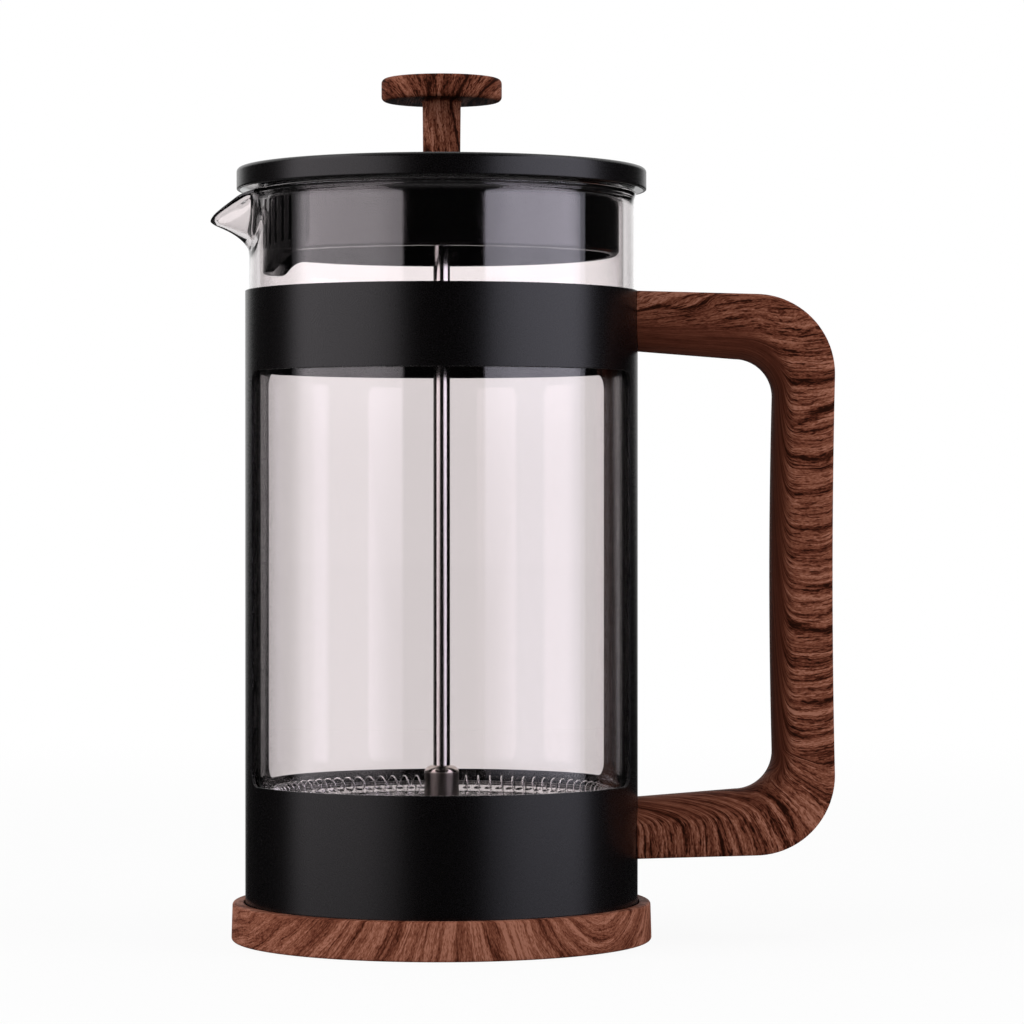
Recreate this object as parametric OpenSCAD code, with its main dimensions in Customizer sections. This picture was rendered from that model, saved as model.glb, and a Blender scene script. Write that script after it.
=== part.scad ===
// French press: a glass beaker standing in a windowed steel sleeve on a round coaster,
// with a bowed handle, a lid that turns and a spring-edged plunger on a rod.
// The origin is the middle of the coaster's underside. +Z is up, +X points to the handle
// and -X to the spout. Millimetres.

/* [Beaker] */
// Outside diameter of the glass wall
beaker_d = 96.4; // [88:0.2:110]
// Height of the beaker from its foot to its rim
beaker_h = 179.5; // [160:0.5:210]
// Thickness of the glass wall
glass_wall = 2.8; // [2.2:0.1:3.6]
// Thickness of the glass floor
glass_floor = 3.4; // [2.6:0.1:5]
// Outside radius of the curve between floor and wall
heel_r = 8; // [6:0.5:12]
// How far the rounded lip stands out beyond the wall
lip_flare = 0.9; // [0.4:0.1:1.6]
// How far the spout's tip stands out beyond the wall
spout_len = 10.2; // [7:0.1:14]
// Depth of the spout's root below the rim
spout_depth = 17; // [13:0.5:20]
// Drop of the pouring edge from the rim to the spout's tip
spout_drop = 6.7; // [4:0.1:8]
// Half width of the spout where it leaves the wall
spout_half_w = 14.5; // [10:0.5:17]
// Thickness of the glass in the spout
spout_wall = 2; // [1.5:0.1:2.4]

/* [Frame] */
// Clearance between the glass and the sleeve
sleeve_gap = 0.3; // [0.2:0.05:0.6]
// Thickness of the sleeve's sheet
sleeve_wall = 0.7; // [0.5:0.05:1]
// Height of the sleeve above the coaster's recess
sleeve_h = 157.4; // [135:0.2:160]
// Height of the closed band above the windows
upper_band = 20.3; // [18.5:0.1:26]
// Height of the closed band below the windows
lower_band = 34.4; // [33:0.1:42]
// Angle covered by the upright strip under the spout
spout_strip = 30; // [20:1:50]
// Angle covered by the upright strip behind the handle
handle_strip = 42; // [30:1:60]
// Corner radius of the windows
window_r = 4; // [2:0.5:7]
// Width of the flange turned in under the beaker
flange_w = 22; // [19:0.5:26]

/* [Coaster] */
// Height of the coaster's rim
base_h = 9.6; // [8.6:0.1:13]
// Depth of the recess that takes the sleeve
recess_depth = 4.6; // [3:0.1:5.2]
// Clearance between the sleeve and the recess
base_gap = 0.35; // [0.25:0.05:0.6]
// Thickness of the rim round the sleeve
base_rim = 2.85; // [2.4:0.05:5]
// How much wider the coaster is at its foot
base_draft = 0.25; // [0:0.05:0.8]
// Radius of the lower edge
base_edge = 1.2; // [0.6:0.1:1.8]
// Radius of the upper edge
base_top_edge = 0.7; // [0.3:0.1:1]
// Depth of the hollow under the coaster
hollow_depth = 1.6; // [1:0.1:2]
// Width of the foot ring
foot_w = 7; // [6:0.5:9]
// Number of ribs in the hollow
base_ribs = 9; // [6:3:15]
// Thickness of the cushion under the beaker
cushion_t = 2; // [1.9:0.1:3.5]
// Width of the cushion ring
cushion_w = 8; // [6:0.5:10]

/* [Handle] */
// How far the handle's top stands above the sleeve
handle_rise = 0; // [0:0.1:2]
// Height of the upper arm where it meets the sleeve
upper_arm_h = 14.8; // [14:0.1:17]
// Height of the lower arm where it meets the sleeve
lower_arm_h = 14.9; // [14:0.1:17]
// Distance from the window sill down to the lower arm
arm_sill_gap = 4.1; // [2:0.1:5]
// Room for the hand between the sleeve and the grip
hand_room = 34.3; // [28:0.1:40]
// Depth of the grip from its inner to its outer face
grip_t = 14.8; // [14:0.05:20]
// Width of the handle across the hand
handle_w = 18.6; // [17:0.1:24]
// Outer radius of the handle's corners
handle_corner_out = 20; // [14:0.5:24]
// Inner radius of the handle's corners
handle_corner_in = 9.5; // [6:0.5:14]
// Fall of the outer face from the sleeve to the corner
arm_fall_out = 0.7; // [0:0.1:2]
// Fall of the inner face from the sleeve to the corner
arm_fall_in = 2; // [0:0.1:4]
// How far the grip bows in at its middle
grip_bow = 0.6; // [0:0.1:2]
// Depth of the soft rounding on the inner side of the arms
arm_round = 8; // [5:0.5:9]
// Depth of the soft rounding on the inner side of the grip
grip_round = 5.5; // [4:0.5:8]
// Radius of the handle's outer edges
handle_edge = 1.5; // [0.8:0.1:3]
// Diameter of the screws that hold the handle
handle_screw_d = 4; // [3:0.5:5]
// Length of the brass inserts in the handle
insert_len = 12; // [8:0.5:16]

/* [Lid] */
// How far the cover stands out beyond the glass wall
lid_overhang = 3.15; // [2.4:0.05:5]
// Height of the cover
lid_h = 5.4; // [4.6:0.1:8]
// Thickness of the cover's sheet
lid_sheet = 0.8; // [0.5:0.1:1.2]
// Radius of the cover's upper edge
lid_edge = 1; // [0.6:0.1:2.5]
// Clearance between the plug and the glass
plug_gap = 0.9; // [0.5:0.05:1.5]
// Depth of the plug's skirt below the rim
plug_depth = 16.5; // [13:0.5:20]
// Thickness of the plug's skirt
plug_wall = 2.2; // [1.8:0.1:3]
// Thickness of the plug's web and flange
plug_web = 2; // [1.6:0.1:2.4]
// Angle covered by the straining slots
strainer_angle = 92; // [60:2:110]
// Angle from one straining slot to the next
slot_pitch = 4.2; // [3:0.1:6]
// Width of a straining slot
slot_w = 1.4; // [0.8:0.1:2]
// Angle covered by the tongue below the slots
tongue_angle = 68; // [40:2:90]
// How far the strainer's tongue hangs below the skirt
tongue_drop = 4.6; // [2:0.1:6]
// Number of ribs between the plug and the cover
plug_ribs = 8; // [4:1:12]

/* [Plunger] */
// Diameter of the rod
rod_d = 4.2; // [3.8:0.1:5]
// Running clearance round the rod and round the bush
running_gap = 0.06; // [0.03:0.01:0.09]
// Outside diameter of the bush in the lid
bush_d = 8; // [7.4:0.1:9]
// Diameter of the knob's disc
knob_d = 30.2; // [24:0.2:40]
// Thickness of the knob's disc
knob_h = 5.7; // [4:0.1:9]
// Radius of the knob's edges
knob_edge = 1.2; // [0.6:0.1:1.8]
// Height of the knob's stem
stem_h = 16.65; // [13:0.05:24]
// Diameter of the stem at its foot
stem_d = 9.3; // [9.2:0.1:12]
// How much wider the stem is at the disc
stem_draft = 0.3; // [0:0.1:1]
// Length of the brass insert in the stem
knob_insert_len = 11; // [8:0.5:12]

/* [Filter] */
// Height of the pressed filter above the glass floor
grounds_h = 24.6; // [18:0.2:40]
// Clearance between the filter and the glass
filter_gap = 0.3; // [0.2:0.05:0.5]
// Thickness of the woven screen
mesh_t = 0.3; // [0.2:0.05:0.4]
// Outside diameter of the wound spring's turns
coil_d = 4.6; // [3.6:0.1:5.4]
// Diameter of the spring's wire
wire_d = 0.45; // [0.35:0.05:0.7]
// Distance from one turn of the spring to the next
coil_pitch = 3.3; // [2.8:0.1:6]
// Thickness of the perforated plate
plate_t = 0.8; // [0.5:0.1:1.2]
// Diameter of the plate's holes
hole_d = 3; // [2:0.1:3.6]
// Distance between rows of holes
hole_row = 6; // [5:0.5:9]
// Thickness of the cross plate
cross_t = 1; // [0.8:0.1:1.6]
// Number of arms in the cross plate
cross_arms = 6; // [4:1:8]
// Diameter of the collar above the plates
collar_d = 8.7; // [8:0.1:11]
// Height of the collar above the plates
collar_h = 9.2; // [6:0.1:14]
// Width across the flats of the lower nut
nut_af = 10; // [8:0.5:13]
// Height of the lower nut
nut_h = 4; // [3:0.5:6]

/* [Hidden] */
$fn = 96;

// Clearance at rest between pieces that lift off each other
seat_gap = 0.25;
// Overcut that keeps two cuts from ending on one face
over = 1;
// How far a round corner dips into the edge it meets, so the two cross cleanly
hair = 0.02;

// Radii, from the axis outwards
glass_r = beaker_d / 2;
bore_r = glass_r - glass_wall;
sleeve_in_r = glass_r + sleeve_gap;
sleeve_r = sleeve_in_r + sleeve_wall;
recess_r = sleeve_r + base_gap;
base_top_r = recess_r + base_rim;
base_r = base_top_r + base_draft;
plug_r = bore_r - plug_gap;
lid_r = glass_r + lid_overhang;
lid_in_r = lid_r - lid_sheet;

// Heights, from the floor up
recess_z = base_h - recess_depth;
flange_top = recess_z + sleeve_wall;
foot_z = flange_top + cushion_t + seat_gap;
rim_z = foot_z + beaker_h;
sleeve_top = recess_z + sleeve_h;
sill_z = recess_z + lower_band;
head_z = sleeve_top - upper_band;
lid_z = rim_z + seat_gap;
lid_top = lid_z + lid_h;
knob_z = lid_top + seat_gap;
disc_z = knob_z + stem_h;

// Rounded lip of the glass, and the spout's tip
lip_r = (glass_wall + lip_flare) / 2;
spout_tip_h = 1.5;
spout_tip_w = 2.6;
spout_nose = 0.84;
spout_arc = 12;
spout_steps = 14;

// Screws that join the sleeve to the coaster
base_screw_d = 3;
base_screw_head_d = 6;
base_screw_head_h = 1.5;
base_screw_len = recess_z - 1;
base_screw_count = 3;
base_screw_r = sleeve_in_r - 6.5;
boss_r = 4;
hub_r = 9;
rib_t = 1.6;
rib_side_h = 0.6;

// Screws that join the handle to the sleeve, with their heads in dimples of the sheet
dimple_depth = 1.6;
dimple_r = handle_screw_d / 2 + 2.6;
dimple_gap = 0.2;
dimple_floor_x = sleeve_in_r + dimple_depth;
screw_head_r = handle_screw_d / 2 + 1.6;
screw_head_t = 0.9;
insert_r = handle_screw_d / 2 + 1.2;
insert_x = dimple_floor_x + sleeve_wall;

// Handle: outer and inner faces of the arms and the grip
top_out_z = sleeve_top + handle_rise;
top_in_z = top_out_z - upper_arm_h;
low_in_z = sill_z - arm_sill_gap;
low_out_z = low_in_z - lower_arm_h;
grip_in_x = sleeve_r + hand_room;
grip_out_x = grip_in_x + grip_t;
arm_start_x = sleeve_r - 3;
upper_screw_z = (top_out_z + top_in_z) / 2;
lower_screw_z = (low_in_z + low_out_z) / 2;

// Bush, which carries the lid and guides the rod
rod_r = rod_d / 2;
bush_r = bush_d / 2;
bush_bore_r = rod_r + running_gap;
bush_flange_r = bush_r + 2.4;
bush_flange_t = 2;
boss_wall = 3.4;
boss_low_z = lid_z - 6;
clip_t = 0.8;
clip_groove = 0.5;
clip_r = bush_r + 2.6;
clip_z = boss_low_z - seat_gap - clip_t;
bush_low_z = clip_z - 1;
flange_z = lid_top - lid_sheet - seat_gap - bush_flange_t;

// Strainer: height of the slots' lower ends over the skirt's edge, depth of their upper
// ends below the web, and the share of the tongue that hangs full length
slot_sill = 2.4;
slot_head = 3;
tongue_flat = 0.3;

// Filter stack, from the coil's centre line
coil_r = coil_d / 2;
coil_z = foot_z + glass_floor + grounds_h;
mesh_r = bore_r - filter_gap;
ring_r = mesh_r - mesh_t - coil_r;
mesh_floor_z = coil_z - coil_r;
plate_z = mesh_floor_z;
plate_rim_r = ring_r - coil_r;
collar_z = plate_z + plate_t;
cross_top_z = mesh_floor_z - mesh_t;
cross_low_z = cross_top_z - cross_t;
cross_r = ring_r - 3;
nut_low_z = cross_low_z - nut_h;
rod_low_z = nut_low_z - 1.2;
rod_top_z = knob_z + knob_insert_len - 1;
knob_insert_r = rod_r + 1;

// A point part of the way from a to b
function mix(a, b, t) = a + (b - a) * t;
// Points of an arc about c, as an ellipse of radii rx and ry
function arc_points(c, rx, ry, from, to, steps) = [
  for (i = [0:steps])
    let (a = mix(from, to, i / steps))
    [c[0] + rx * cos(a), c[1] + ry * sin(a)]
];
// Triangles of a closed skin: rings of n points each, joined one to the next
function skin_faces(rings, n, looped) = [
  for (i = [0:rings - (looped ? 1 : 2)])
    for (j = [0:n - 1])
      let (a = i * n, b = ((i + 1) % rings) * n, k = (j + 1) % n)
      each [[a + j, a + k, b + k], [a + j, b + k, b + j]]
];

// ---- Coaster and frame ----

// Outline of the coaster on one side of the axis, with both edges rounded
function base_outline() = concat(
  [[0, 0]],
  arc_points([base_r - base_edge, base_edge], base_edge, base_edge, 270, 360, 6),
  arc_points([base_top_r - base_top_edge, base_h - base_top_edge], base_top_edge,
    base_top_edge, 0, 90, 4),
  [[recess_r, base_h], [recess_r, recess_z], [0, recess_z]]
);

module at_base_screws() {
  for (i = [0:base_screw_count - 1])
    rotate([0, 0, 60 + i * 360 / base_screw_count])
      translate([base_screw_r, 0, 0])
        children();
}

module base_coaster() {
  color("saddlebrown")
  difference() {
    union() {
      difference() {
        rotate_extrude() polygon(base_outline());
        translate([0, 0, -over]) cylinder(r = base_r - foot_w, h = hollow_depth + over);
      }
      cylinder(r = hub_r, h = recess_z / 2);
      for (i = [0:base_ribs - 1])
        rotate([0, 0, i * 360 / base_ribs])
          translate([hub_r - over, -rib_t / 2, rib_side_h])
            cube([base_r - foot_w - hub_r + 2 * over, rib_t, hollow_depth]);
      at_base_screws() cylinder(r = boss_r, h = recess_z / 2);
    }
    at_base_screws()
      translate([0, 0, recess_z - base_screw_len])
        cylinder(d = base_screw_d, h = base_screw_len + over);
  }
}

// One window of the sleeve between two angles, with round corners in the bent sheet
module window_cut(from, to) {
  inset = window_r * 180 / (PI * sleeve_r);
  window_h = head_z - sill_z;
  depth = sleeve_wall + 4 * over;
  rotate([0, 0, from + inset])
    rotate_extrude(angle = to - from - 2 * inset)
      translate([sleeve_in_r - over, sill_z]) square([depth, window_h]);
  for (a = [from + inset, to - inset])
    rotate([0, 0, a])
      translate([sleeve_in_r - 2 * over, 0, sill_z + window_r]) {
        translate([0, hair - window_r, 0])
          cube([depth, 2 * (window_r - hair), window_h - 2 * window_r]);
        for (z = [-hair, window_h - 2 * window_r + hair])
          translate([0, 0, z]) rotate([0, 90, 0]) cylinder(r = window_r, h = depth);
      }
}

module at_handle_screws() {
  for (z = [lower_screw_z, upper_screw_z])
    translate([0, 0, z]) rotate([0, 90, 0]) children();
}

module frame_sleeve() {
  color([0.07, 0.07, 0.075])
  difference() {
    union() {
      translate([0, 0, recess_z]) cylinder(r = sleeve_r, h = sleeve_h);
      at_handle_screws()
        translate([0, 0, sleeve_in_r - over])
          cylinder(r = dimple_r, h = insert_x - sleeve_in_r + over);
    }
    translate([0, 0, flange_top]) cylinder(r = sleeve_in_r, h = sleeve_h);
    translate([0, 0, recess_z - over])
      cylinder(r = sleeve_in_r - flange_w, h = sleeve_wall + 2 * over);
    window_cut(handle_strip / 2, 180 - spout_strip / 2);
    mirror([0, 1, 0]) window_cut(handle_strip / 2, 180 - spout_strip / 2);
    at_handle_screws() {
      translate([0, 0, sleeve_in_r - over])
        cylinder(r = dimple_r - sleeve_wall, h = dimple_depth + over);
      cylinder(d = handle_screw_d, h = insert_x + over);
    }
    at_base_screws()
      translate([0, 0, recess_z - over])
        cylinder(d = base_screw_d, h = sleeve_wall + 2 * over);
  }
}

module base_screws() {
  color("silver")
  at_base_screws() {
    translate([0, 0, recess_z - base_screw_len])
      cylinder(d = base_screw_d, h = base_screw_len + sleeve_wall);
    difference() {
      translate([0, 0, flange_top])
        cylinder(d1 = base_screw_head_d, d2 = base_screw_head_d - 1,
          h = base_screw_head_h);
      translate([0, 0, flange_top + base_screw_head_h / 2]) {
        translate([-base_screw_d / 2, -0.3, 0]) cube([base_screw_d, 0.6, over]);
        translate([-0.3, -base_screw_d / 2, 0]) cube([0.6, base_screw_d, over]);
      }
    }
  }
}

module beaker_cushion() {
  cushion_r = base_screw_r - base_screw_head_d / 2 - 1;
  color("dimgray")
  translate([0, 0, flange_top])
    difference() {
      cylinder(r = cushion_r, h = cushion_t);
      translate([0, 0, -over]) cylinder(r = cushion_r - cushion_w, h = cushion_t + 2 * over);
    }
}

// ---- Handle ----

// Cross-section of the handle, t deep from the inner to the outer face: soft towards
// the fingers, nearly square on the outside
function handle_section(t, round_u) =
  let (
    half = handle_w / 2,
    round_v = half - 1,
    u_out = t - handle_edge
  )
  concat(
    arc_points([round_u, round_v - half], round_u, round_v, 180, 270, 6),
    arc_points([u_out, handle_edge - half], handle_edge, handle_edge, 270, 360, 3),
    arc_points([u_out, half - handle_edge], handle_edge, handle_edge, 0, 90, 3),
    arc_points([round_u, half - round_v], round_u, round_v, 90, 180, 6)
  );

// One station of the handle: inner point, outer point and inner rounding, in X and Z.
// side is 1 for the upper arm and -1 for the lower one.
function arm_station(t, in_z, out_z, side) =
  let (
    in_x = grip_in_x - handle_corner_in,
    out_x = grip_out_x - handle_corner_out
  )
  [
    [mix(arm_start_x, in_x, t), in_z - side * arm_fall_in * t],
    [mix(arm_start_x, out_x, t), out_z - side * arm_fall_out * t],
    arm_round
  ];
function corner_station(t, in_z, out_z, side) =
  let (
    a = 90 * (1 - t),
    in_c = [grip_in_x - handle_corner_in, in_z - side * (arm_fall_in + handle_corner_in)],
    out_c = [grip_out_x - handle_corner_out,
      out_z - side * (arm_fall_out + handle_corner_out)]
  )
  [
    in_c + handle_corner_in * [cos(a), side * sin(a)],
    out_c + handle_corner_out * [cos(a), side * sin(a)],
    mix(arm_round, grip_round, t)
  ];
function grip_station(t) =
  let (
    upper = corner_station(1, top_in_z, top_out_z, 1),
    lower = corner_station(1, low_in_z, low_out_z, -1),
    bow = [-4 * grip_bow * t * (1 - t), 0]
  )
  [mix(upper[0], lower[0], t) + bow, mix(upper[1], lower[1], t) + bow, grip_round];

corner_steps = 9;
grip_steps = 8;
function handle_stations() = concat(
  [arm_station(0, top_in_z, top_out_z, 1)],
  [for (i = [0:corner_steps]) corner_station(i / corner_steps, top_in_z, top_out_z, 1)],
  [for (i = [1:grip_steps - 1]) grip_station(i / grip_steps)],
  [for (i = [0:corner_steps])
    corner_station(1 - i / corner_steps, low_in_z, low_out_z, -1)],
  [arm_station(0, low_in_z, low_out_z, -1)]
);
function station_ring(s) =
  let (
    depth = norm(s[1] - s[0]),
    dir = (s[1] - s[0]) / depth
  )
  [for (p = handle_section(depth, s[2]))
    [s[0][0] + dir[0] * p[0], p[1], s[0][1] + dir[1] * p[0]]];

module handle_body() {
  stations = handle_stations();
  n = len(handle_section(grip_t, grip_round));
  rings = len(stations);
  polyhedron(
    points = [for (s = stations) each station_ring(s)],
    faces = concat(
      skin_faces(rings, n, false),
      [[for (j = [n - 1:-1:0]) j]],
      [[for (j = [0:n - 1]) (rings - 1) * n + j]]
    )
  );
}

module handle() {
  color("saddlebrown")
  difference() {
    handle_body();
    translate([0, 0, recess_z]) cylinder(r = sleeve_r, h = top_out_z + over);
    at_handle_screws() {
      cylinder(r = dimple_r + dimple_gap, h = insert_x);
      cylinder(r = insert_r, h = insert_x + insert_len);
      cylinder(d = handle_screw_d, h = insert_x + insert_len + 2 * over);
    }
  }
}

module handle_screws() {
  color("silver")
  at_handle_screws() {
    difference() {
      translate([0, 0, dimple_floor_x - screw_head_t])
        cylinder(r = screw_head_r, h = screw_head_t);
      translate([0, 0, dimple_floor_x - screw_head_t - over])
        cylinder(r = handle_screw_d / 4, h = over + screw_head_t / 2, $fn = 6);
    }
    translate([0, 0, dimple_floor_x])
      cylinder(d = handle_screw_d, h = sleeve_wall + insert_len);
  }
}

module handle_inserts() {
  color("goldenrod")
  at_handle_screws()
    translate([0, 0, insert_x])
      difference() {
        cylinder(r = insert_r, h = insert_len);
        translate([0, 0, -over]) cylinder(d = handle_screw_d, h = insert_len + 2 * over);
      }
}

// ---- Beaker ----

// Half outline of a round-heeled cup
module cup_outline(r, h, heel) {
  square([r - heel, h]);
  translate([0, heel]) square([r, h - heel]);
  translate([r - heel, heel])
    intersection() {
      circle(r = heel);
      translate([0, -heel]) square(heel);
    }
}

// How the spout runs from the wall (t = 0) to its tip (t = 1)
function spout_x(t) = -(glass_r + spout_len * t);
function spout_edge(t) = rim_z - spout_drop * pow(t, 1.1);
function spout_belly(t) =
  rim_z - spout_depth + (spout_depth - spout_drop - spout_tip_h) * pow(t, 0.45);
// Rounds off the last part of the spout: 1 up to spout_nose, and nearly 0 at the tip
function spout_close(t) =
  t < spout_nose ? 1 : sqrt(1.02 - pow((t - spout_nose) / (1 - spout_nose), 2));
function spout_w(t) = (spout_half_w - spout_tip_w) * pow(1 - t, 1.15) + spout_tip_w;

// One station of the spout: a half round hanging from the pouring edge. It is drawn in
// by inset all round, and its edge is raised by lift.
function spout_ring(t, x, inset, lift) =
  let (
    mid = (spout_edge(t) + spout_belly(t)) / 2,
    close = spout_close(t),
    w = spout_w(t) * close - inset,
    edge = mix(mid, spout_edge(t), close),
    belly = min(mix(mid, spout_belly(t), close) + inset, edge - 0.1)
  )
  concat(
    [for (p = arc_points([0, edge], w, edge - belly, 180, 360, spout_arc)) [x, p[0], p[1]]],
    [[x, w, edge + lift], [x, -w, edge + lift]]
  );

module spout_form(inset, lift, tip) {
  stations = concat(
    [spout_ring(0, -bore_r + heel_r, inset, lift)],
    [for (i = [0:spout_steps])
      let (t = tip * (1 - cos(180 * i / spout_steps)) / 2)
      spout_ring(t, spout_x(t), inset, lift)]
  );
  n = len(stations[0]);
  rings = len(stations);
  polyhedron(
    points = [for (s = stations) each s],
    faces = concat(
      skin_faces(rings, n, false),
      [[for (j = [n - 1:-1:0]) j]],
      [[for (j = [0:n - 1]) (rings - 1) * n + j]]
    )
  );
}

module glass_beaker() {
  color([0.85, 0.87, 0.88, 0.35])
  difference() {
    union() {
      translate([0, 0, foot_z])
        rotate_extrude() {
          cup_outline(glass_r, beaker_h - lip_r, heel_r);
          translate([glass_r + lip_flare - lip_r, beaker_h - lip_r]) circle(r = lip_r);
        }
      spout_form(0, 0.01, 1);
    }
    translate([0, 0, foot_z + glass_floor])
      rotate_extrude() cup_outline(bore_r, beaker_h, heel_r - glass_wall);
    spout_form(spout_wall, lip_r + over, spout_nose);
  }
}

// ---- Lid ----

module rod_bush() {
  color("silver")
  difference() {
    union() {
      translate([0, 0, bush_low_z]) cylinder(r = bush_r, h = lid_top - bush_low_z);
      translate([0, 0, flange_z]) cylinder(r = bush_flange_r, h = bush_flange_t);
    }
    translate([0, 0, bush_low_z - over])
      cylinder(r = bush_bore_r, h = lid_top - bush_low_z + 2 * over);
    translate([0, 0, clip_z])
      difference() {
        cylinder(r = bush_r + over, h = clip_t);
        cylinder(r = bush_r - clip_groove, h = clip_t);
      }
  }
}

module bush_clip() {
  color("gray")
  translate([0, 0, clip_z])
    difference() {
      cylinder(r = clip_r, h = clip_t);
      translate([0, 0, -over]) cylinder(r = bush_r - clip_groove, h = clip_t + 2 * over);
    }
}

// Half outline of a flat cap with one rounded upper edge
module cap_outline(r, h, edge) {
  square([r - edge, h]);
  square([r, h - edge]);
  translate([r - edge, h - edge]) circle(r = edge);
}

module lid_cover() {
  color([0.07, 0.07, 0.075])
  difference() {
    translate([0, 0, lid_z]) rotate_extrude() cap_outline(lid_r, lid_h, lid_edge);
    translate([0, 0, lid_z - lid_sheet])
      rotate_extrude() cap_outline(lid_in_r, lid_h, max(lid_edge - lid_sheet, 0.2));
    translate([0, 0, lid_z]) cylinder(r = bush_r + running_gap, h = lid_h + over);
  }
}

// Drop of the strainer's lower edge below the skirt at an angle from the spout
function tongue_at(a) =
  let (
    reach = tongue_angle / 2,
    flat = tongue_flat * reach,
    fall = (min(max(abs(a), flat), reach) - flat) / (reach - flat)
  )
  tongue_drop * (1 + cos(180 * fall)) / 2;

// Tongue of the strainer: a piece of the skirt's wall with a curved lower edge
module strainer_tongue() {
  skirt_z = lid_z - plug_depth;
  reach = tongue_angle / 2;
  steps = 24;
  intersection() {
    translate([0, 0, skirt_z - 2 * tongue_drop])
      difference() {
        cylinder(r = plug_r, h = 2 * tongue_drop + over);
        translate([0, 0, -over])
          cylinder(r = plug_r - plug_wall, h = 2 * tongue_drop + 3 * over);
      }
    rotate([90, 0, -90])
      linear_extrude(plug_r + over)
        polygon(concat(
          [for (i = [0:steps])
            let (a = mix(-reach, reach, i / steps))
            [plug_r * sin(a), skirt_z - tongue_at(a)]],
          [[plug_r * sin(reach), skirt_z + over / 2], [-plug_r * sin(reach), skirt_z + over / 2]]
        ));
  }
}

module strainer_slots() {
  count = floor((strainer_angle - slot_pitch) / slot_pitch / 2);
  for (i = [-count:count])
    let (
      a = i * slot_pitch,
      low = lid_z - plug_depth + slot_sill - tongue_at(a) / 3,
      high = lid_z - slot_head
    )
    rotate([0, 0, 180 + a])
      translate([plug_r - plug_wall - over, -slot_w / 2, low])
        cube([plug_wall + 2 * over, slot_w, high - low]);
}

// Half outline of the plug's skirt, with a chamfer on its lower outer edge
module skirt_outline() {
  chamfer = plug_wall / 4;
  top = plug_depth + plug_web / 2;
  polygon([
    [plug_r - plug_wall, 0], [plug_r - chamfer, 0], [plug_r, chamfer],
    [plug_r, top], [plug_r - plug_wall, top]
  ]);
}

module lid_plug() {
  web_top = lid_z + plug_web;
  boss_r_out = bush_r + boss_wall;
  cover_low = lid_top - lid_sheet;
  color([0.1, 0.1, 0.105])
  difference() {
    union() {
      translate([0, 0, lid_z]) cylinder(r = lid_in_r, h = plug_web);
      translate([0, 0, lid_z - plug_depth]) rotate_extrude() skirt_outline();
      translate([0, 0, boss_low_z]) cylinder(r = boss_r_out, h = cover_low - boss_low_z);
      for (i = [0:plug_ribs - 1])
        rotate([0, 0, i * 360 / plug_ribs])
          translate([boss_r_out - over, -rib_t / 2, web_top - over])
            cube([plug_r - boss_r_out, rib_t, cover_low - web_top + over]);
      strainer_tongue();
    }
    strainer_slots();
    translate([0, 0, boss_low_z - over])
      cylinder(r = bush_r + running_gap, h = cover_low - boss_low_z + 2 * over);
    translate([0, 0, flange_z - seat_gap])
      cylinder(r = bush_flange_r + seat_gap, h = cover_low - flange_z + seat_gap + over);
  }
}

// ---- Plunger ----

module plunger_knob() {
  stem_r = stem_d / 2;
  knob_r = knob_d / 2;
  color("saddlebrown")
  difference() {
    union() {
      translate([0, 0, knob_z])
        cylinder(r1 = stem_r, r2 = stem_r + stem_draft / 2, h = stem_h + knob_h / 2);
      translate([0, 0, disc_z])
        rotate_extrude() {
          square([knob_r - knob_edge, knob_h]);
          translate([0, knob_edge]) square([knob_r, knob_h - 2 * knob_edge]);
          for (z = [knob_edge, knob_h - knob_edge])
            translate([knob_r - knob_edge, z]) circle(r = knob_edge);
        }
    }
    translate([0, 0, knob_z - over])
      cylinder(r = knob_insert_r, h = knob_insert_len + over);
  }
}

module knob_insert() {
  color("goldenrod")
  translate([0, 0, knob_z])
    difference() {
      cylinder(r = knob_insert_r, h = knob_insert_len);
      translate([0, 0, -over]) cylinder(r = rod_r, h = knob_insert_len + 2 * over);
    }
}

module plunger_rod() {
  color("silver")
  translate([0, 0, rod_low_z]) cylinder(r = rod_r, h = rod_top_z - rod_low_z);
}

module rod_collar() {
  collar_r = collar_d / 2;
  shoulder = 2;
  color("silver")
  translate([0, 0, collar_z])
    difference() {
      rotate_extrude() cap_outline(collar_r, collar_h, shoulder);
      translate([0, 0, -over]) cylinder(r = rod_r, h = collar_h + 2 * over);
    }
}

// ---- Filter ----

// Rings of round holes between two radii, each row with as many holes as fit
module hole_rows(from, to, step, d) {
  for (r = [from:step:to])
    let (count = floor(2 * PI * r / (d * 1.9)))
    for (i = [0:count - 1])
      rotate([0, 0, (i + r / step / 2) * 360 / count])
        translate([r, 0]) circle(d = d, $fn = 24);
}

// Perforated plate with a rim that slopes up to hold the spring
module spiral_plate() {
  rim_w = coil_r * 1.9;
  rise = coil_r * 0.4;
  slope_r = plate_rim_r - rim_w;
  color("gainsboro")
  translate([0, 0, plate_z]) {
    linear_extrude(plate_t)
      difference() {
        circle(r = slope_r);
        circle(r = rod_r);
        hole_rows(collar_d / 2 + hole_d, slope_r - hole_d, hole_row, hole_d);
      }
    rotate_extrude()
      polygon([
        [slope_r - over, 0], [slope_r, 0], [plate_rim_r, rise],
        [plate_rim_r, rise + plate_t], [slope_r, plate_t], [slope_r - over, plate_t]
      ]);
  }
}

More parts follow.
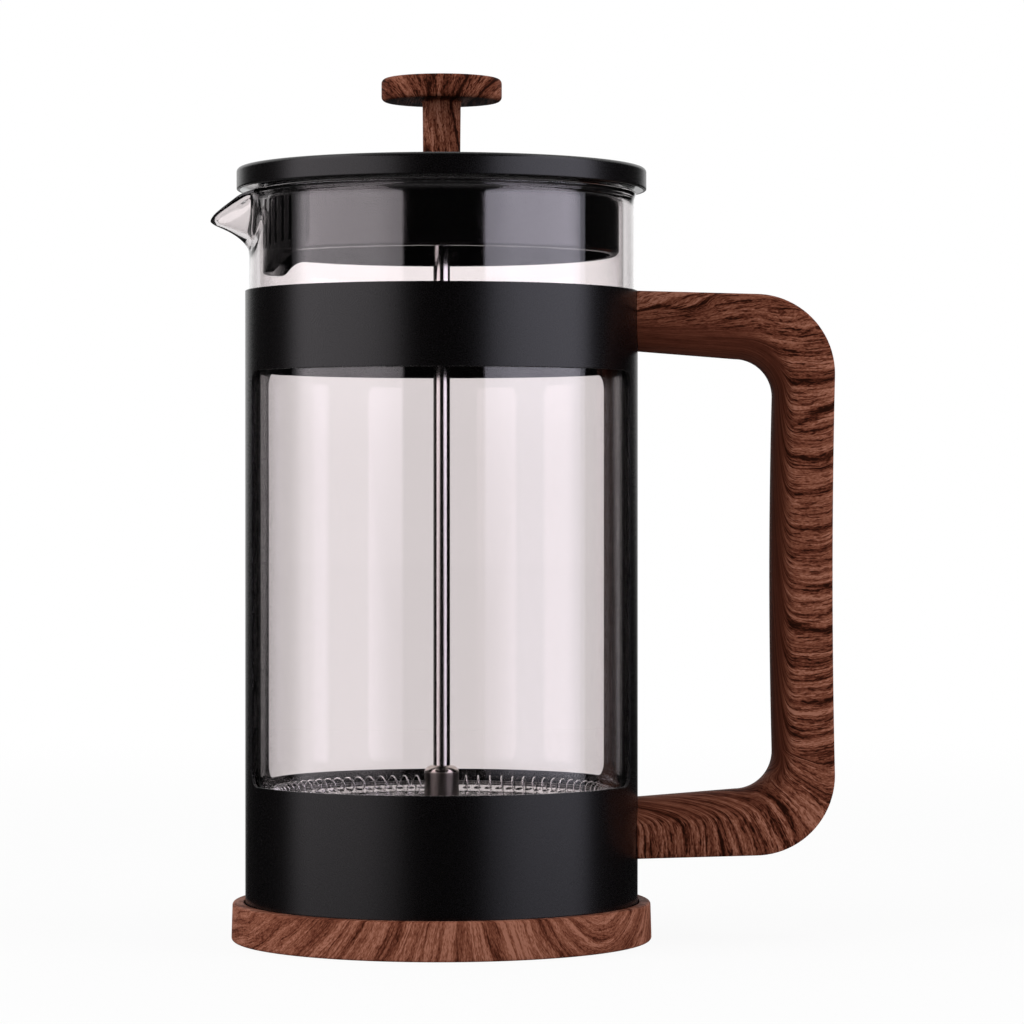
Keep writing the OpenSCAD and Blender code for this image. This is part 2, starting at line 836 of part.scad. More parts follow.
// Spring wound into a closed ring: one wire that turns round the ring's centre line
module filter_coil() {
  turns = round(2 * PI * ring_r / coil_pitch);
  per_turn = 8;
  sides = 5;
  wind_r = coil_r - wire_d / 2;
  count = turns * per_turn;
  color("silver")
  polyhedron(
    points = [
      for (i = [0:count - 1])
        let (
          round_a = 360 * i / count,
          turn_a = -360 * i / per_turn,
          out = [cos(round_a), sin(round_a), 0],
          along = [-sin(round_a), cos(round_a), 0],
          up = [0, 0, 1],
          n = cos(turn_a) * out + sin(turn_a) * up,
          ahead = (sin(turn_a) * out - cos(turn_a) * up) * wind_r * turns + along * ring_r,
          b = cross(ahead / norm(ahead), n)
        )
        for (j = [0:sides - 1])
          let (w = 360 * j / sides)
          ring_r * out + up * coil_z + n * (wind_r + wire_d / 2 * cos(w))
            + b * wire_d / 2 * sin(w)
    ],
    faces = skin_faces(count, sides, true)
  );
}

// Woven screen under the plate, with its edge turned up round the spring
module mesh_screen() {
  wall_h = coil_r + 2 * mesh_t;
  color("darkgray")
  translate([0, 0, cross_top_z])
    difference() {
      rotate_extrude()
        difference() {
          cup_outline(mesh_r, wall_h + mesh_t, coil_r + mesh_t);
          translate([0, mesh_t]) cup_outline(mesh_r - mesh_t, wall_h + over, coil_r);
        }
      translate([0, 0, -over]) cylinder(r = rod_r, h = mesh_t + 2 * over);
    }
}

// Plate under the screen: a rim and a hub joined by arms
module cross_plate() {
  hub = nut_af / 2 + 3;
  rim_w = 5;
  arm_w = 5;
  color("silver")
  translate([0, 0, cross_low_z])
    linear_extrude(cross_t)
      difference() {
        union() {
          difference() {
            circle(r = cross_r);
            circle(r = cross_r - rim_w);
          }
          circle(r = hub);
          for (i = [0:cross_arms - 1])
            rotate(i * 360 / cross_arms)
              translate([0, -arm_w / 2]) square([cross_r - rim_w / 2, arm_w]);
        }
        circle(r = rod_r);
        for (i = [0:cross_arms - 1])
          rotate(i * 360 / cross_arms)
            translate([(hub + cross_r - rim_w) / 2, 0]) circle(d = arm_w * 0.4, $fn = 24);
      }
}

module filter_nut() {
  color("silver")
  translate([0, 0, nut_low_z])
    difference() {
      intersection() {
        cylinder(d = nut_af / cos(30), h = nut_h, $fn = 6);
        translate([0, 0, -nut_af / 4])
          cylinder(r1 = nut_af / 4, r2 = nut_af / 4 + nut_h + nut_af / 4,
            h = nut_h + nut_af / 4);
      }
      translate([0, 0, -over]) cylinder(r = rod_r, h = nut_h + 2 * over);
    }
}

base_coaster();
frame_sleeve();
base_screws();
beaker_cushion();
handle();
handle_screws();
handle_inserts();
glass_beaker();
rod_bush();
bush_clip();
lid_cover();
lid_plug();
plunger_knob();
knob_insert();
plunger_rod();
rod_collar();
spiral_plate();
filter_coil();
mesh_screen();
cross_plate();
filter_nut();
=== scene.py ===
import math
import bpy
import numpy as np
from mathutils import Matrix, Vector


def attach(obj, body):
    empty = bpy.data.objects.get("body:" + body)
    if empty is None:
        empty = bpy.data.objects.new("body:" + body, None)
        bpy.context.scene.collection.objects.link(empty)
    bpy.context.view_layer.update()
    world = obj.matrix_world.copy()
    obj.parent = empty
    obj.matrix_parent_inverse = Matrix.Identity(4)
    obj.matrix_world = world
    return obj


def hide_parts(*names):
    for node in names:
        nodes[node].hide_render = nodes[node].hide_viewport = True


mm = 0.001
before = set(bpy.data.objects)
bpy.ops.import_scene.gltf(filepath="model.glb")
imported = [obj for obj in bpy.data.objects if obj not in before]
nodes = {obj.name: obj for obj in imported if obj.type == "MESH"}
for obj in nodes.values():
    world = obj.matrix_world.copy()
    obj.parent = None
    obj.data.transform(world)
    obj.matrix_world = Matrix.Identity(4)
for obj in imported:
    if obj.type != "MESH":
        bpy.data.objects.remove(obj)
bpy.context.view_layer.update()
print("frame loaded:", len(nodes), "nodes")


# small helpers
def deselectAll():
    if bpy.context.object and bpy.context.object.mode != "OBJECT":
        bpy.ops.object.mode_set(mode="OBJECT")
    bpy.ops.object.select_all(action="DESELECT")


def editMode():
    bpy.ops.object.mode_set(mode="EDIT")
    bpy.ops.mesh.select_mode(type="VERT")


def objectMode():
    bpy.ops.object.mode_set(mode="OBJECT")


def pick(obj):
    # the only one selected, and the active one
    deselectAll()
    bpy.context.view_layer.objects.active = obj
    obj.select_set(True)


def tidyMesh(obj, angle):
    # merge doubles, turn the faces outwards and shade smooth up to an angle in degrees
    pick(obj)
    editMode()
    bpy.ops.mesh.select_all(action="SELECT")
    bpy.ops.mesh.remove_doubles(threshold=0.002 * mm)
    bpy.ops.mesh.normals_make_consistent(inside=False)
    objectMode()
    bpy.ops.object.shade_smooth_by_angle(angle=math.radians(angle))


def paintWith(obj, material):
    obj.data.materials.clear()
    obj.data.materials.append(material)


def dress(obj, material, body, node):
    # a finished piece gets its material and its body, and the CAD node that it stands for is hidden
    paintWith(obj, material)
    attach(obj, body)
    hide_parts(node)
    print(obj.name, "done:", len(obj.data.polygons), "faces")


def spinProfile(name, outline, steps):
    # an outline of (radius, height) in millimetres, drawn point by point and spun round Z
    deselectAll()
    bpy.ops.mesh.primitive_plane_add(size=0.001, location=(0, 0, 0))
    obj = bpy.context.object
    obj.name = name
    obj.data.name = name
    editMode()
    bpy.ops.mesh.select_all(action="SELECT")
    bpy.ops.mesh.merge(type="CENTER")
    last = Vector((0, 0, 0))
    first = True
    for r, z in outline:
        here = Vector((r * mm, 0, z * mm))
        if first:
            bpy.ops.transform.translate(value=here - last)
            first = False
        else:
            bpy.ops.mesh.extrude_region_move(TRANSFORM_OT_translate={"value": here - last})
        last = here
    bpy.ops.mesh.select_all(action="SELECT")
    bpy.ops.mesh.spin(steps=steps, angle=2 * math.pi, center=(0, 0, 0), axis=(0, 0, 1))
    objectMode()
    return obj


def skinRings(name, rings):
    # one ring extruded into a stack, then every ring set to its own outline in millimetres
    deselectAll()
    count, around = len(rings), len(rings[0])
    bpy.ops.mesh.primitive_circle_add(vertices=around, radius=1.0, fill_type="NGON",
                                      location=(0, 0, 0))
    obj = bpy.context.object
    obj.name = name
    obj.data.name = name
    editMode()
    bpy.ops.mesh.select_all(action="SELECT")
    for _ in range(count - 1):
        bpy.ops.mesh.extrude_region_move(TRANSFORM_OT_translate={"value": (0, 0, 1.0)})
    objectMode()
    co = np.zeros(len(obj.data.vertices) * 3, np.float32)
    obj.data.vertices.foreach_get("co", co)
    co = co.reshape(-1, 3)
    ringOf = np.rint(co[:, 2]).astype(int)
    # the primitive's first vertex stands at +Y and the rest follow anticlockwise
    turn = (np.arctan2(co[:, 1], co[:, 0]) - math.pi / 2) / (2 * math.pi)
    pointOf = np.rint(turn * around).astype(int) % around
    places = np.array(rings, float) * mm
    obj.data.vertices.foreach_set("co", places[ringOf, pointOf].astype(np.float32).ravel())
    obj.data.update()
    return obj, ringOf, pointOf


def arc(cx, cy, rx, ry, start, end, steps):
    out = []
    for i in range(steps + 1):
        a = math.radians(start + (end - start) * i / steps)
        out.append((cx + rx * math.cos(a), cy + ry * math.sin(a)))
    return out


def setGrain(obj, values, **extras):
    # one (across, along, depth) of the wood print in millimetres for each vertex
    # extras: soft is 1 where the print is stretched and painted shade darkens it, shade is painted light
    # added to the tone, below 0 for painted shade
    layer = obj.data.attributes.new("grain", "FLOAT_VECTOR", "POINT")
    layer.data.foreach_set("vector", np.asarray(values, np.float32).ravel())
    for name, amounts in extras.items():
        layer = obj.data.attributes.new(name, "FLOAT", "POINT")
        layer.data.foreach_set("value", np.asarray(amounts, np.float32).ravel())


def vertexArray(obj):
    # the mesh's points in millimetres
    co = np.zeros(len(obj.data.vertices) * 3, np.float32)
    obj.data.vertices.foreach_get("co", co)
    return co.reshape(-1, 3) / mm


# materials
def newMaterial(name):
    mat = bpy.data.materials.new(name)
    mat.use_nodes = True
    mat.node_tree.nodes.clear()
    return mat, mat.node_tree.nodes, mat.node_tree.links


def feed(links, socket, value):
    # a number or a colour is set on the socket, anything else is linked to it
    if isinstance(value, (int, float, tuple)):
        socket.default_value = value
    else:
        links.new(value, socket)


def mathNode(n, l, operation, a, b=None, c=None):
    node = n.new("ShaderNodeMath")
    node.operation = operation
    for i, v in enumerate((a, b, c)):
        if v is not None:
            feed(l, node.inputs[i], v)
    return node.outputs[0]


def smoothStep(n, l, value, low, high, toLow=0.0, toHigh=1.0):
    node = n.new("ShaderNodeMapRange")
    node.interpolation_type = "SMOOTHSTEP"
    feed(l, node.inputs["Value"], value)
    node.inputs["From Min"].default_value = low
    node.inputs["From Max"].default_value = high
    node.inputs["To Min"].default_value = toLow
    node.inputs["To Max"].default_value = toHigh
    return node.outputs["Result"]


def scaled(n, l, vector, scale, offset=(0, 0, 0)):
    node = n.new("ShaderNodeMapping")
    l.new(vector, node.inputs["Vector"])
    node.inputs["Scale"].default_value = scale
    node.inputs["Location"].default_value = offset
    return node.outputs[0]


def noise(n, l, vector, scale=1.0, detail=2.0, rough=0.5):
    node = n.new("ShaderNodeTexNoise")
    l.new(vector, node.inputs["Vector"])
    node.inputs["Scale"].default_value = scale
    node.inputs["Detail"].default_value = detail
    node.inputs["Roughness"].default_value = rough
    return node.outputs[0]


def ramp(n, l, value, stops):
    node = n.new("ShaderNodeValToRGB")
    l.new(value, node.inputs[0])
    elements = node.color_ramp.elements
    while len(elements) < len(stops):
        elements.new(0.5)
    for e, (at, color) in zip(elements, stops):
        e.position = at
        e.color = (*color, 1)
    return node.outputs[0]


def showOn(n, l, kind, shader):
    l.new(shader, n.new(kind).inputs["Surface"])


def surface(n, l, mat, **values):
    # Base_Color stands for the socket Base Color, and so on
    shader = n.new("ShaderNodeBsdfPrincipled")
    for name, value in values.items():
        feed(l, shader.inputs[name.replace("_", " ")], value)
    showOn(n, l, "ShaderNodeOutputMaterial", shader.outputs[0])
    return mat


def parts(n, l, vector):
    node = n.new("ShaderNodeSeparateXYZ")
    l.new(vector, node.inputs[0])
    return node.outputs


def bump(n, l, height, strength, distance, normal=None):
    node = n.new("ShaderNodeBump")
    if normal is not None:
        l.new(normal, node.inputs["Normal"])
    l.new(height, node.inputs["Height"])
    node.inputs["Strength"].default_value = strength
    node.inputs["Distance"].default_value = distance
    return node.outputs[0]


def attribute(n, name):
    node = n.new("ShaderNodeAttribute")
    node.attribute_name = name
    return node.outputs


woodPrint = {
    "stops": (             # from the darkest line to the palest streak
        (0.00, (0.016, 0.0040, 0.0020)), (0.20, (0.040, 0.0095, 0.0045)), (0.42, (0.092, 0.0250, 0.0140)),
        (0.62, (0.150, 0.0480, 0.0275)), (0.82, (0.225, 0.0820, 0.0500)), (1.00, (0.320, 0.1350, 0.0900))),
    "base": 0.74,          # tone of the plain wood, 0 to 1 along the stops
    "band": 8.6,           # millimetres from one dark band to the next
    "broad": 2.1,          # across a broad streak
    "line": 0.62,          # across a long line
    "pore": 0.36,          # across a pore
    "fibre": 0.26,         # across a fibre
    "wander": (5.0, 1.3, 0.45),       # how far the lines stray slowly, quickly and finely
    "bandDepth": 0.44,     # how dark each kind of mark gets
    "lineDepth": 0.34,
    "streakDepth": 0.26,
    "fibreDepth": 0.14,
    "patchDepth": 0.40,
    "stretchCalm": 0.75,   # share of the marks lost where the print is stretched
    "softSideShade": 0.33,   # and how much painted shade darkens the soft inner side
    "roughness": (0.62, 0.50),
}


def woodLook(name, shift=0.0, bands=1.0, contrast=1.0, lift=0.0, wave=1.0, pores=0.36):
    # a printed rosewood film: dark bands, streaks, long lines and short pores along the grain
    t = woodPrint
    mat, n, l = newMaterial(name)
    soft = attribute(n, "soft")["Fac"]
    shade = attribute(n, "shade")["Fac"]
    start = scaled(n, l, attribute(n, "grain")["Vector"], (1, 1, 1), (shift, shift * 0.7, shift * 0.3))
    # the lines wander a little
    slowFar, quickFar, fineFar = t["wander"]
    slow = noise(n, l, scaled(n, l, start, (0.05, 0.04, 0.04)), detail=1.0)
    quick = noise(n, l, scaled(n, l, start, (0.30, 0.09, 0.10)), detail=1.5)
    slowPush = mathNode(n, l, "MULTIPLY_ADD", slow, slowFar * wave, -slowFar / 2 * wave)
    push = mathNode(n, l, "MULTIPLY_ADD", quick, quickFar * wave, slowPush)
    jitter = noise(n, l, scaled(n, l, start, (0.9, 0.45, 0.6)), detail=1.5)
    push = mathNode(n, l, "MULTIPLY_ADD", jitter, fineFar, push)
    move = n.new("ShaderNodeCombineXYZ")
    l.new(push, move.inputs[0])
    add = n.new("ShaderNodeVectorMath")
    add.operation = "ADD"
    l.new(start, add.inputs[0])
    l.new(move.outputs[0], add.inputs[1])
    bent = add.outputs[0]
    broad = noise(n, l, scaled(n, l, bent, (1 / t["broad"], 0.022, 0.02)), detail=2.5, rough=0.6)
    line = noise(n, l, scaled(n, l, bent, (1 / t["line"], 0.036, 0.03)), detail=2.0, rough=0.6)
    pore = noise(n, l, scaled(n, l, bent, (1 / t["pore"], 0.420, 0.4)), detail=0.5)
    fibre = noise(n, l, scaled(n, l, bent, (1 / t["fibre"], 1.100, 1.1)), detail=1.0)
    patch = noise(n, l, scaled(n, l, start, (0.16, 0.07, 0.07)), detail=2.0)
    fade = noise(n, l, scaled(n, l, start, (0.13, 0.05, 0.05), (5, 3, 1)), detail=1.0)
    calm = mathNode(n, l, "MULTIPLY_ADD", soft, -t["stretchCalm"], 1.0)
    # dark bands at nearly even steps, frayed by the streaks
    phase = mathNode(n, l, "MULTIPLY", parts(n, l, bent)[0], math.pi / t["band"])
    phase = mathNode(n, l, "MULTIPLY_ADD", slow, 4.0, phase)
    swing = mathNode(n, l, "ABSOLUTE", mathNode(n, l, "SINE", phase))
    swing = mathNode(n, l, "MULTIPLY_ADD", line, 0.5, swing)
    bandMask = smoothStep(n, l, swing, 0.58, 0.30, 0.0, t["bandDepth"] * bands)
    bandMask = mathNode(n, l, "MULTIPLY", bandMask, smoothStep(n, l, fade, 0.38, 0.52, 0.35, 1.0))
    lineMask = smoothStep(n, l, line, 0.52, 0.64, 0.0, t["lineDepth"] * contrast)
    poreMask = smoothStep(n, l, pore, 0.53, 0.66, 0.0, pores)
    marks = mathNode(n, l, "ADD", lineMask, mathNode(n, l, "ADD", bandMask, poreMask))
    depth = t["streakDepth"] * contrast
    streak = smoothStep(n, l, broad, 0.32, 0.68, -depth, depth)
    fine = smoothStep(n, l, fibre, 0.30, 0.70, t["fibreDepth"], -t["fibreDepth"])
    streak = mathNode(n, l, "ADD", streak, fine)
    change = mathNode(n, l, "MULTIPLY", mathNode(n, l, "SUBTRACT", streak, marks), calm)
    value = mathNode(n, l, "MULTIPLY_ADD", patch, t["patchDepth"], t["base"] - t["patchDepth"] / 2 + lift)
    value = mathNode(n, l, "ADD", value, change)
    # painted shade on the soft inner side, which faces away from the light
    value = mathNode(n, l, "MULTIPLY_ADD", soft, -t["softSideShade"], value)
    # painted light and shade from the shade attribute, lifting or darkening the tone
    value = mathNode(n, l, "ADD", value, shade)
    color = ramp(n, l, value, t["stops"])
    rough = smoothStep(n, l, value, 0.0, 1.0, *t["roughness"])
    normal = bump(n, l, value, 0.15, 0.0002)
    surface(n, l, mat, Base_Color=color, Roughness=rough, Normal=normal, Specular_IOR_Level=0.02)
    return mat


def objectCoords(n):
    return n.new("ShaderNodeTexCoord").outputs["Object"]


def softEdge(n, radius):
    # a narrow highlight along folded and cut edges, in millimetres
    node = n.new("ShaderNodeBevel")
    node.samples = 4
    node.inputs["Radius"].default_value = radius * mm
    return node.outputs[0]


def mixed(n, l, share, first, second):
    # one colour into another
    node = n.new("ShaderNodeMix")
    node.data_type = "RGBA"
    l.new(share, node.inputs[0])
    feed(l, node.inputs[6], first)
    feed(l, node.inputs[7], second)
    return node.outputs[2]


def blackLook(name, level, rough, grainSize, strength, shine, edge):
    # black with the fine pebble of a powder coat or a mould, sizes in millimetres
    mat, n, l = newMaterial(name)
    place = objectCoords(n)
    pebble = noise(n, l, place, scale=1.0 / (grainSize * mm), detail=2.0, rough=0.6)
    cloud = noise(n, l, place, scale=30.0, detail=2.0)
    tone = mixed(n, l, cloud, (level * 0.9, level * 0.7, level * 0.8, 1),
                 (level * 1.3, level * 1.0, level * 1.1, 1))
    roughness = smoothStep(n, l, pebble, 0.3, 0.7, rough - 0.02, rough + 0.02)
    normal = bump(n, l, pebble, strength, 0.0001, softEdge(n, edge) if edge else None)
    surface(n, l, mat, Base_Color=tone, Roughness=roughness, Normal=normal, Specular_IOR_Level=shine)
    return mat


allWays = (1, 1, 1)
upAndDown = (1, 1, 0.06)      # hair lines along the axis
roundAbout = (0.06, 0.06, 1)  # hair lines left by a lathe


def steelLook(name, color, rough, hairs, shadedBelow=None, shadeTone=0.32, rougher=0.26):
    # metal with fine hair lines, rougher below a height in millimetres, where painted shade also darkens
    # it
    mat, n, l = newMaterial(name)
    place = objectCoords(n)
    hair = noise(n, l, scaled(n, l, place, tuple(4000 * a for a in hairs)), detail=3.0, rough=0.6)
    cloud = noise(n, l, place, scale=120.0, detail=2.0)
    paint = mixed(n, l, cloud, (*(c * 0.93 for c in color), 1), (*(min(1.0, c * 1.05) for c in color), 1))
    roughness = smoothStep(n, l, hair, 0.3, 0.7, rough * 0.8, rough * 1.25)
    normal = bump(n, l, hair, 0.03, 0.00002)
    if shadedBelow:
        high = parts(n, l, place)[2]
        bright = smoothStep(n, l, high, (shadedBelow - 0.5) * mm, (shadedBelow + 0.5) * mm)
        # painted shade below the height
        paint = mixed(n, l, bright, (*(c * shadeTone for c in color), 1), paint)
        roughness = mathNode(n, l, "ADD", roughness, rougher)
        roughness = mathNode(n, l, "MULTIPLY_ADD", bright, -rougher, roughness)
    surface(n, l, mat, Base_Color=paint, Metallic=1.0, Roughness=roughness, Normal=normal)
    return mat


def glassLook():
    # clear glass with a faint warm tint that drifts a little
    mat, n, l = newMaterial("clearGlass")
    flow = noise(n, l, scaled(n, l, objectCoords(n), (14, 14, 5)), detail=1.0)
    tint = mixed(n, l, flow, (0.893, 0.853, 0.856, 1), (0.883, 0.842, 0.845, 1))
    normal = bump(n, l, flow, 0.02, 0.001)
    surface(n, l, mat, Base_Color=tint, Roughness=0.0, IOR=1.5, Transmission_Weight=1.0, Normal=normal)
    return mat


def weaveLook(pitch):
    # woven wire cloth, seen as fine squares, from one wire to the next in millimetres
    mat, n, l = newMaterial("wireCloth")
    threads = []
    for part in parts(n, l, objectCoords(n)):
        wave = mathNode(n, l, "MULTIPLY", part, 2 * math.pi / (pitch * mm))
        threads.append(mathNode(n, l, "SINE", wave))
    cross = mathNode(n, l, "MULTIPLY", threads[0], threads[1])
    cross = mathNode(n, l, "ADD", cross, threads[2])
    color = ramp(n, l, mathNode(n, l, "MULTIPLY_ADD", cross, 0.25, 0.5), (
        (0.0, (0.08, 0.08, 0.08)), (0.5, (0.40, 0.39, 0.38)), (1.0, (0.80, 0.79, 0.78))))
    normal = bump(n, l, cross, 0.5, 0.0001)
    surface(n, l, mat, Base_Color=color, Metallic=0.9, Roughness=0.35, Normal=normal)
    return mat


blackSteel = blackLook("satinBlackSteel", level=0.0012, rough=0.27, grainSize=0.22, strength=0.07,
                       shine=0.36, edge=0.25)
blackPlastic = blackLook("mouldedBlack", level=0.0008, rough=0.12, grainSize=0.6, strength=0.05,
                         shine=0.5, edge=0.35)
cushionRubber = blackLook("greyRubber", level=0.10, rough=0.55, grainSize=0.5, strength=0.3,
                          shine=0.4, edge=0)
rodSteel = steelLook("drawnSteel", (0.66, 0.64, 0.62), 0.10, upAndDown)
plateSteel = steelLook("pressedSteel", (0.74, 0.73, 0.72), 0.13, allWays)
# the collar gets painted shade below 42 mm
collarSteel = steelLook("turnedCollar", (0.60, 0.54, 0.50), 0.14, allWays, shadedBelow=42.0)
springSteel = steelLook("springSteel", (0.86, 0.85, 0.84), 0.16, allWays)
bushSteel = steelLook("turnedSteel", (0.58, 0.57, 0.56), 0.22, roundAbout)
brass = steelLook("turnedBrass", (0.70, 0.48, 0.22), 0.22, roundAbout)
wireCloth = weaveLook(0.55)
clearGlass = glassLook()
handleWood = woodLook("handleWood", shift=3.0)
coasterWood = woodLook("coasterWood", shift=41.0, bands=0.55, contrast=0.85, lift=0.11, wave=0.7,
                       pores=0.18)
knobWood = woodLook("knobWood", shift=77.0, bands=1.6, wave=0.5)
print("materials ready")


# the glass beaker, its rim and its spout, in millimetres
beaker = {
    "outer": 48.2, "inner": 45.4, "foot": 7.95, "rim": 187.45,
    "floor": 3.4, "heel": 8.0,
    "lip": 0.75,           # rounding of the rim
    "flare": 0.6,          # how far the rim stands out, and over what height
    "flareHigh": 2.8,
    "mouth": 21.0,         # height under the rim in which the spout is shaped
    "spoutLength": 9.9, "spoutHalf": 14.5, "spoutDepth": 17.0, "spoutDrop": 6.7,
    "tipHeight": 1.5, "tipHalf": 2.6, "spoutWall": 1.5, "tipWall": 1.7,
    "edgeCurve": 1.1, "keelCurve": 0.45, "sideCurve": 1.15,
    "nose": 0.84,          # share of the spout's length at which its tip starts to close
    "rootEase": 0.06, "rootShare": 0.25,
    "rootOut": 6.5, "rootWide": 26.0, "rootLow": 155.0,      # where the root is smoothed
    "rootSoft": 4.0, "rootSoftTop": 2.5, "rootSoftFoot": 8.0,
    "rootPasses": 32,
    "spoutPoints": 22, "wallPoints": 176, "spoutRows": 26, "rowCurve": 1.25, "lipSteps": 10,
    "footRings": (2.0, 16.0, 32.0), "wallRings": (60.0, 110.0, 150.0), "floorRings": (28.0, 12.0, 2.0),
}


def spoutSide(inset, reach, wall):
    # one side of the spout's glass as functions of t, 0 at the wall and 1 at the tip
    b = beaker

    def closing(t):
        if t < b["nose"]:
            return 1.0
        return math.sqrt(max(0.0, 1.0 - ((t - b["nose"]) / (1 - b["nose"])) ** 2))

    def half(t):
        taper = (b["spoutHalf"] - b["tipHalf"]) * (1 - t) ** b["sideCurve"]
        return max(0.0, taper + b["tipHalf"] - inset) * closing(t)

    def heights(t):
        # the pouring edge and the keel under it, while the tip is still open
        deep = b["spoutDepth"] - b["spoutDrop"] - b["tipHeight"]
        return (b["rim"] - b["spoutDrop"] * t ** b["edgeCurve"],
                b["rim"] - b["spoutDepth"] + deep * t ** b["keelCurve"])

    def edge(t):
        e, k = heights(t)
        middle = (e + k) / 2
        return middle + (e - middle) * closing(t)

    def keel(t):
        e, k = heights(t)
        middle = (e + k) / 2
        return middle + (k - middle) * closing(t) + inset * (1 - 0.55 * t)

    def out(t, y):
        ease = b["rootEase"]
        soft = (math.sqrt(t * t + ease ** 2) - ease) / (math.sqrt(1 + ease ** 2) - ease)
        curved = math.sqrt(max(0.0, wall * wall - y * y))
        k = min(1.0, soft / b["rootShare"])
        k = k * k * (3 - 2 * k)
        return (curved + (wall - curved) * k) + reach * soft

    def outside(t, y, z):
        h, e, k = half(t), edge(t), keel(t)
        if h < 1e-6 or e - k < 1e-6:
            return True
        return (y / h) ** 2 + (max(0.0, e - z) / (e - k)) ** 2 > 1.0

    def reachAt(y, z, top):
        # how far out the glass stands at a place across and a height
        if outside(0.0, y, z):
            return 0.0
        if not outside(top, y, z):
            return top
        low, high = 0.0, top
        for _ in range(26):
            middle = (low + high) / 2
            if outside(middle, y, z):
                high = middle
            else:
                low = middle
        return low

    # the pouring edge cut into equal steps
    ts = np.linspace(0.0, 1.0, 1500)
    points = np.array([(out(t, half(t)), half(t), edge(t)) for t in ts])
    length = np.concatenate([[0], np.cumsum(np.linalg.norm(np.diff(points, axis=0), axis=1))])
    steps = np.interp(np.linspace(0, length[-1], b["spoutPoints"] + 1), length, ts)
    return {"half": half, "edge": edge, "out": out, "reachAt": reachAt, "steps": steps}


def beakerRings():
    # rings from the middle of the foot up the outside, over the rim and down the inside
    b = beaker
    spoutAngle = math.asin(b["spoutHalf"] / b["outer"])
    n, w = b["spoutPoints"], b["wallPoints"]
    # angles from the spout (-X), first round the wall and then across the spout
    angles = [spoutAngle + (2 * math.pi - 2 * spoutAngle) * i / w for i in range(w + 1)]
    edgeStep = [None] * (w + 1)      # which step of the pouring edge a point belongs to
    edgeStep[0] = edgeStep[w] = 0
    for i in range(1, 2 * n):
        angles.append(-spoutAngle + spoutAngle * i / n)
        edgeStep.append(i if i <= n else 2 * n - i)
    signs = [1] * (w + 1) + [-1 if i <= n else 1 for i in range(1, 2 * n)]
    signs[w] = -1
    low = b["rim"] - b["mouth"]
    lip = b["lip"]

    def plain(r, z):
        return [(-r * math.cos(a), -r * math.sin(a), z) for a in angles]

    def column(side, i, wall, wallAngle, down):
        t = side["steps"][edgeStep[i]]
        y0 = side["half"](t)
        z0 = side["edge"](t) - lip * (1 - 0.35 * min(1, t * 3))
        yWall = wall * math.sin(wallAngle * (1 - edgeStep[i] / n))
        y = y0 + (yWall - y0) * down ** 0.9
        z = z0 + (low - z0) * down
        reach = side["reachAt"](y, z, t)
        return -side["out"](reach, y), -signs[i] * y, z, t

    def mouthRing(side, wall, wallAngle, down, flare):
        # down is 0 at the rim and 1 where the wall is round again
        ring = []
        for i, a in enumerate(angles):
            if edgeStep[i] is None:
                z = (b["rim"] - lip) + (low - (b["rim"] - lip)) * down
                ring.append((-(wall + flare) * math.cos(a), -(wall + flare) * math.sin(a), z))
            else:
                x, y, z, t = column(side, i, wall, wallAngle, down)
                ring.append((x - flare * (1 - t), y, z))
        return ring

    rings = [plain(r, b["foot"]) for r in b["footRings"]]
    for r, z in arc(b["outer"] - b["heel"], b["foot"] + b["heel"], b["heel"], b["heel"], -90, 0, 9):
        rings.append(plain(r, z))
    for z in (*b["wallRings"], low):
        rings.append(plain(b["outer"], z))

    # up to the rim outside
    outerSide = spoutSide(0.0, b["spoutLength"], b["outer"])
    downs = [(1 - i / b["spoutRows"]) ** b["rowCurve"] for i in range(1, b["spoutRows"] + 1)]
    for down in downs:
        flare = b["flare"] * max(0.0, 1 - down * b["mouth"] / b["flareHigh"]) ** 2
        rings.append(mouthRing(outerSide, b["outer"], spoutAngle, down, flare))
    outerTop = rings[-1]

    # over the rounded lip
    innerReach = b["outer"] + b["spoutLength"] - b["tipWall"] - b["inner"]
    innerSide = spoutSide(b["spoutWall"], innerReach, b["inner"])
    innerAngle = math.asin((b["spoutHalf"] - b["spoutWall"]) / b["inner"])
    innerTop = mouthRing(innerSide, b["inner"], innerAngle, 0.0, 0.0)
    for i in range(1, b["lipSteps"]):
        a = math.pi * i / b["lipSteps"]
        ring = []
        for o, s in zip(outerTop, innerTop):
            o, s = Vector(o), Vector(s)
            side = (o - s) / 2
            lift = min(lip, side.length)
            ring.append(tuple((o + s) / 2 + side * math.cos(a) + Vector((0, 0, lift * math.sin(a)))))
        rings.append(ring)
    rings.append(innerTop)

    # and down inside
    for down in reversed(downs[:-1]):
        rings.append(mouthRing(innerSide, b["inner"], innerAngle, down, 0.0))
    for z in (low, *reversed(b["wallRings"])):
        rings.append(plain(b["inner"], z))
    bore = b["heel"] - (b["outer"] - b["inner"])
    top = b["foot"] + b["floor"]
    for r, z in reversed(arc(b["inner"] - bore, top + bore, bore, bore, -90, 0, 8)):
        rings.append(plain(r, z))
    return rings + [plain(r, top) for r in b["floorRings"]]


